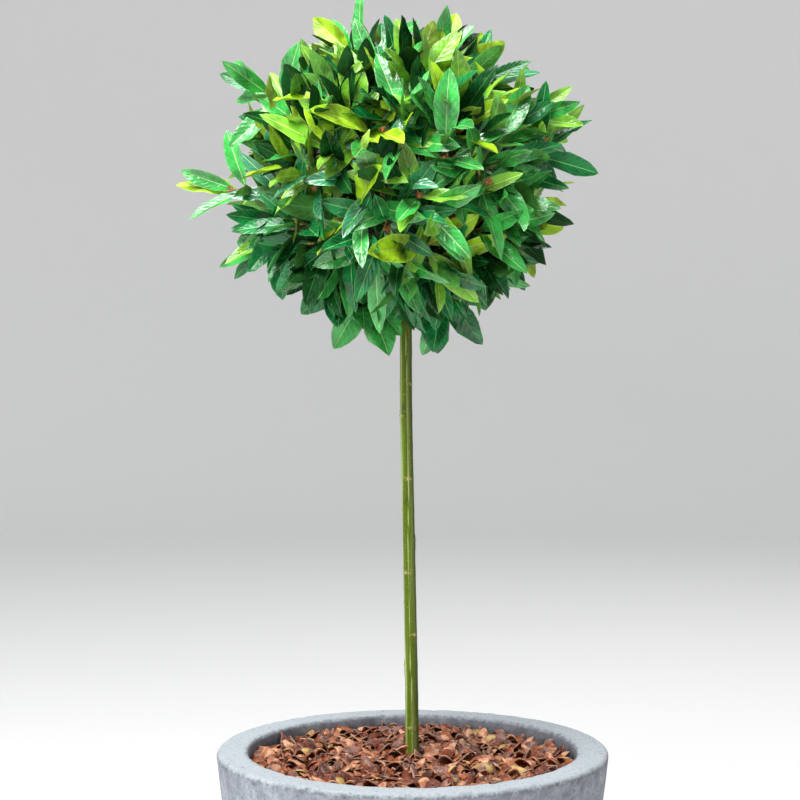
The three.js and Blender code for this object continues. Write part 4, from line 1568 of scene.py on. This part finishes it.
def leafPattern():
    # one leaf's faces: six columns above, one below, rows from stalk to tip
    rows, wide = len(leafStations), 7
    at = lambda row, column: 1 + row * wide + column
    tip = 1 + rows * wide
    quads, quadSlots, triangles, triangleSlots = [], [], [], []
    for row in range(rows - 1):
        for column in range(5):
            here, above = at(row, column), at(row + 1, column)
            quads.append((here, here + 1, above + 1, above))
            quadSlots.append(3 if row == 0 else 2 if column == 2 else 0)
        for left, right in ((0, 6), (6, 5)):
            quads.append((at(row, left), at(row + 1, left), at(row + 1, right), at(row, right)))
            quadSlots.append(3 if row == 0 else 1)
    for column in range(5):
        foot, top = at(0, column), at(rows - 1, column)
        triangles += [(0, foot + 1, foot), (top, top + 1, tip)]
        triangleSlots += [3, 0]
    for left, right in ((0, 6), (6, 5)):
        triangles += [(0, at(0, left), at(0, right)), (at(rows - 1, left), tip, at(rows - 1, right))]
        triangleSlots += [3, 1]
    return np.array(quads), quadSlots, np.array(triangles), triangleSlots


bladeShape = {
    "rib": 0.6,
    "ribTaper": 0.35,
    "ribShare": 0.5,  # of the blade's half width at most
    "ribHeight": 0.12,
    "waveFrom": 8,  # the half width from which the margins wave fully
    "waveSteps": (2.3, 2.5),  # from station to station, on the left and on the right
    "rightPhase": (1.7, 1),
    "bulge": (0.09, 0.08),
    "middle": 0.52,  # where the column between rib and margin runs
    "middleWave": 0.3,
}


def leafPoints(leaves):
    # every leaf's points at once, and where each lies on its blade
    b = bladeShape
    take = lambda key: np.array([leaf[key] for leaf in leaves], float)
    perStation = lambda values: values[:, None, :]
    length, width, bend = take("length"), take("width"), take("bend")
    axis, upper, root = take("axis"), take("upper"), take("root")
    s = leafStations[None, :]
    lean = bend[:, None] * s
    forward = (np.sin(lean) / bend[:, None])[..., None]
    drop = ((1 - np.cos(lean)) / bend[:, None])[..., None]
    midrib = perStation(axis) * forward - perStation(upper) * drop
    centre = perStation(root) + length[:, None, None] * midrib
    sine, cosine = np.sin(lean)[..., None], np.cos(lean)[..., None]
    normal = perStation(upper) * cosine + perStation(axis) * sine
    tangent = perStation(axis) * cosine - perStation(upper) * sine
    turn = (take("twist")[:, None] * s)[..., None]
    across = perStation(np.cross(axis, upper)) * np.cos(turn) + normal * np.sin(turn)
    normal = np.cross(across, tangent)
    half = width[:, None] * leafHalves[None, :]
    rib = np.minimum(b["rib"] - b["ribTaper"] * s, half * b["ribShare"])
    ribHeight = b["ribHeight"] + 0 * half
    steps = np.arange(len(leafStations))[None, :]
    leftStep, rightStep = b["waveSteps"]
    swing = take("wave")[:, None] * np.minimum(half / b["waveFrom"], 1)
    phase = take("phase")[:, None]
    leftWave = swing * np.sin(phase + steps * leftStep)
    rightWave = swing * np.sin(phase * b["rightPhase"][0] + b["rightPhase"][1] + steps * rightStep)
    fold = take("fold")[:, None] * half
    bulge = b["bulge"][0] * half + b["bulge"][1]
    middle, share = b["middle"], b["middleWave"]
    level = 0 * half
    columns = [
        # across the blade, off its plane, and how far over the blade from its left margin
        (-half, fold + leftWave, 0.0),
        (-half * middle, fold * middle + leftWave * share + bulge, 0.24),
        (-rib, ribHeight, 0.47),
        (rib, ribHeight, 0.53),
        (half * middle, fold * middle + rightWave * share + bulge, 0.76),
        (half, fold + rightWave, 1.0),
        (level, -leafSizes["thickness"] + level, 0.5),
    ]
    grid = np.stack([centre + across * x[..., None] + normal * z[..., None] for x, z, _ in columns], 2)
    onward, downward = (np.sin(bend) / bend)[:, None], ((1 - np.cos(bend)) / bend)[:, None]
    end = root + length[:, None] * (axis * onward - upper * downward)
    points = np.concatenate([root[:, None, :], grid.reshape(len(leaves), -1, 3), end[:, None, :]], 1)
    places = [(0.5, 0.0)] + [(c[2], station) for station in leafStations for c in columns] + [(0.5, 1.0)]
    return points, np.array(places)


leafFinish = {
    "darker": 0.56,
    "paler": 1.5,
    "clouds": (48.0, 0.34, 0.66),  # scale, low and high
    "crinkle": (110.0, 2.0),  # scale and detail
    "crinkleHeight": 3.4,
    "veinHeight": 0.14,
    "veins": (62.0, 26.0),  # along the blade, and how they slant out from the midrib
    # from and to, and what comes of them
    "margin": (0.44, 0.5, 0.0, 0.45),
    "sideVeins": (0.8, 1.0, 0.0, 0.22),
    "midrib": (0.02, 0.05, 0.5, 0.0),
}


def leafVeins(tree, aside, length, blade, rib):
    # the midrib, the side veins and the pale margin, and the side veins for the bump
    f = leafFinish
    perLength, slant = f["veins"]
    bands = mathNode(tree, "SUBTRACT", times(tree, length, perLength), times(tree, aside, slant))
    veins = mathNode(tree, "SINE", bands)
    margin = stepped(tree, aside, *f["margin"])
    lines = stepped(tree, veins, *f["sideVeins"])
    middle = stepped(tree, aside, *f["midrib"])
    paleShare = mathNode(tree, "MAXIMUM", mathNode(tree, "MAXIMUM", margin, lines), middle)
    return mixColour(tree, paleShare, blade, rib), veins


def leafMaterial(name, blade, roughness, shine, rib=None):
    material, tree, shader, place = newMaterial(name, {"Specular IOR Level": shine, "Roughness": roughness})
    f = leafFinish
    darker = tuple(c * f["darker"] for c in blade[:3]) + (1,)
    paler = tuple(min(1, c * f["paler"]) for c in blade[:3]) + (1,)
    colour = mottled(tree, place, *f["clouds"], darker, paler)["Colour"]
    if rib:
        surface = addNode(tree, "ShaderNodeUVMap", uv_map="surface").outputs[0]
        parts = addNode(tree, "ShaderNodeSeparateXYZ", {0: surface}).outputs
        aside = mathNode(tree, "ABSOLUTE", mathNode(tree, "SUBTRACT", parts[0], 0.5))
        colour, veins = leafVeins(tree, aside, parts[1], colour, rib)
        crinkle = times(tree, noiseAt(tree, place, *f["crinkle"]), f["crinkleHeight"])
        height = mathNode(tree, "ADD", times(tree, veins, f["veinHeight"]), crinkle)
        addBump(tree, shader, 0.6, 0.0007, height)
    tree.links.new(colour, shader.inputs["Base Color"])
    return material


def buildLeaves(leaves, nodes):
    quads, quadSlots, triangles, triangleSlots = leafPattern()
    each = 2 * len(quads) + len(triangles)
    stalk = leafMaterial("leafStalk", leafSizes["stalk"], 0.5, 0.3)
    for name, (_, blade, under, rib, shine) in leafTints.items():
        chosen = [leaf for leaf in leaves if leaf["tint"] == name]
        if not chosen:
            continue
        points, places = leafPoints(chosen)
        count = len(points)
        offsets = np.arange(count)[:, None, None] * points.shape[1]
        faceSets = [(faces[None] + offsets).reshape(-1, faces.shape[1]) for faces in (quads, triangles)]
        slots = np.concatenate([np.tile(quadSlots, count), np.tile(triangleSlots, count)])
        corners = [np.tile(places[faces].reshape(-1, 2), (count, 1)) for faces in (quads, triangles)]
        finishes = [
            leafMaterial(name + "Leaf", blade, 0.26, shine, rib),
            leafMaterial(name + "Underside", under, 0.6, 0.25, rib),
            leafMaterial(name + "Midrib", rib, 0.4, shine),
            stalk,
        ]
        surface = np.concatenate(corners)
        flat = points.reshape(-1, 3)
        piece = meshPiece("leaves_" + name, flat, faceSets, finishes, slots, surface, sharpAngle=75)
        finished(piece, "foliage", *nodes)
        print("leaves", name + ":", count, "leaves,", count * each, "triangles")


def buildTwigs(limbs, nodes):
    sides = twigSizes["sides"]
    parts = [tube(points, np.linspace(first, last, len(points)), sides) for points, first, last in limbs]
    points, faces = joined(parts)
    bark = barkMaterial("twigBark", barkLook["twig"], barkLook["light"], barkLook["scar"])
    piece = meshPiece("twigs", points, faces, [bark], marks=unmarked(points), sharpAngle=60)
    finished(piece, "bark", *nodes)
    print("twigs:", len(limbs), "limbs,", len(piece.data.polygons), "faces")


# buds
budSizes = {
    "length": 10.5,
    "width": 3.0,
    "smallest": 0.6,
    "largest": 1.15,
    "perTip": 9,
    "tilt": 0.6,
    "leastTilt": 0.6,  # as a share of a bud's own
    "along": (0.4, 0.35),  # how far out the inmost bud stands, and how much less the outmost
    "aside": 1.6,
    "seed": 77,
}


def budTree():
    # one bud on each given point, pointing along the point's own heading
    inputs = {
        "Tips": "Geometry",
        "Finish": "Material",
        "Length": "Float",
        "Width": "Float",
        "Smallest": "Float",
        "Largest": "Float",
        "Seed": "Int",
    }
    tree, sockets, given = geometryTree("budsOnTips", inputs, "Buds")
    width = given["Width"]
    ball = addNode(tree, "GeometryNodeMeshUVSphere", {"Segments": 8, "Rings": 6, "Radius": 0.5}).outputs[0]
    size = addNode(tree, "ShaderNodeCombineXYZ", {0: width, 1: width, 2: given["Length"]}).outputs[0]
    bud = addNode(tree, "GeometryNodeTransform", {"Geometry": ball, "Scale": size}).outputs[0]
    points = addNode(tree, "GeometryNodeMeshToPoints", {"Mesh": given["Tips"]}).outputs[0]
    named = addNode(tree, "GeometryNodeInputNamedAttribute", {"Name": "heading"}, data_type="FLOAT_VECTOR")
    pointing = {"Vector": named.outputs[0]}
    turn = addNode(tree, "FunctionNodeAlignRotationToVector", pointing, axis="Z").outputs[0]
    grown = randomFrom(tree, given["Smallest"], given["Largest"], given["Seed"])
    dealOut(tree, points, bud, turn, grown, given["Finish"], "Buds")
    return tree, sockets


def budMaterial():
    material, tree, shader, place = newMaterial("rustyBud", {"Roughness": 0.5})
    scales = mottled(tree, place, 420.0, 0.4, 0.62, tone(168, 88, 40), tone(226, 158, 104))
    tree.links.new(scales["Colour"], shader.inputs["Base Color"])
    addBump(tree, shader, 0.4, 0.0005, scales["Mask"])
    return material


def buildBuds(buds, nodes):
    b = budSizes
    random = seededStream(b["seed"])
    points, headings = [], []
    for tip, axis in buds:
        aside = unit(np.cross(axis, levelFor(axis)))
        for i in range(b["perTip"]):
            around = turnedAbout(aside, axis, goldenAngle * i + random())
            share = i / b["perTip"]
            heading = unit(axis + around * b["tilt"] * share * (b["leastTilt"] + random()))
            outward = b["along"][0] - b["along"][1] * share
            points.append(tip + heading * b["length"] * outward + around * b["aside"] * share)
            headings.append(heading)
    mesh = bpy.data.meshes.new("bud_points")
    mesh.from_pydata([tuple(p * mm) for p in points], [], [])
    attribute = mesh.attributes.new("heading", "FLOAT_VECTOR", "POINT")
    attribute.data.foreach_set("vector", np.array(headings, np.float32).ravel())
    tree, sockets = budTree()
    values = {
        "Finish": budMaterial(),
        "Length": b["length"] * mm,
        "Width": b["width"] * mm,
        "Smallest": b["smallest"],
        "Largest": b["largest"],
        "Seed": 4,
    }
    piece = grownPiece("buds", sceneObject("bud_points", mesh), tree, sockets, values)
    finished(piece, "foliage", *nodes)
    print("buds:", len(points))


foliageNodes = ["foliage_" + mass["name"] for mass in masses]
leaves, limbs, buds = growCrown(masses, plannedShoots())
buildTwigs(limbs, foliageNodes)
buildLeaves(leaves, foliageNodes)
buildBuds(buds, foliageNodes)


# studio
stageSizes = {"floorRadius": 4.4, "wallRound": 1.6, "wallHeight": 4.6, "segments": 96}
stageLights = [
    # name, place, height that it points at, size, power, colour
    ("key", (-1.3, -1.4, 3.5), 0.8, 2.6, 222, (0.98, 0.99, 1.0)),
    ("fill", (-3.0, -1.5, 1.5), 0.7, 1.6, 20, (0.95, 0.97, 1.0)),
    ("glint", (-0.7, -2.3, 2.7), 0.95, 0.45, 16, (1.0, 1.0, 1.0)),
    ("back", (1.6, 2.4, 3.0), 0.9, 1.6, 40, (1.0, 1.0, 1.0)),
]
skyLight = {"colour": (0.88, 0.93, 1.0, 1), "strength": 0.4}
cameraView = {
    "place": (-0.0128, -2.425, 0.886),
    "degreesDown": 4.211,
    "lens": 108,
    "sensor": 36,
    "farthest": 40,
}


def buildStage():
    # a plain pale floor that curves up into a plain wall all round
    s = stageSizes
    profile = [(r, 0.0) for r in np.linspace(0.01, s["floorRadius"], 14)]
    for turn in np.radians(np.linspace(0, 90, 12))[1:]:
        reach = s["floorRadius"] + s["wallRound"] * math.sin(turn)
        profile.append((reach, s["wallRound"] * (1 - math.cos(turn))))
    profile.append((profile[-1][0], s["wallHeight"]))
    points = turnedProfile(profile, s["segments"]) / mm
    faces = [turnedOver(ringQuads(len(profile), s["segments"])), fan(0, s["segments"])]
    material, _, shader, _ = newMaterial("studioFloor", {"Roughness": 0.9, "Specular IOR Level": 0.2})
    shader.inputs["Base Color"].default_value = tone(224, 223, 221)
    meshPiece("studio_floor", points, faces, [material])


def addLight(name, place, height, size, power, colour):
    light = bpy.data.lights.new(name, "AREA")
    light.shape = "DISK"
    light.size = size
    light.energy = power
    light.color = colour
    lamp = sceneObject(name, light)
    lamp.location = place
    lamp.rotation_euler = (Vector((0, 0, height)) - Vector(place)).to_track_quat("-Z", "Y").to_euler()


def addCamera():
    view = cameraView
    camera = sceneObject("camera", bpy.data.cameras.new("camera"))
    camera.data.sensor_width = view["sensor"]
    camera.data.lens = view["lens"]
    camera.data.clip_end = view["farthest"]
    camera.location = view["place"]
    camera.rotation_euler = (math.radians(90 - view["degreesDown"]), 0, 0)
    bpy.context.scene.camera = camera


def buildStudio():
    buildStage()
    for light in stageLights:
        addLight(*light)
    world = bpy.data.worlds.new("softSky")
    world.use_nodes = True
    background = world.node_tree.nodes["Background"]
    background.inputs["Color"].default_value = skyLight["colour"]
    background.inputs["Strength"].default_value = skyLight["strength"]
    bpy.context.scene.world = world
    addCamera()
    bpy.context.scene.view_settings.view_transform = "Standard"
    print("studio ready")


buildStudio()
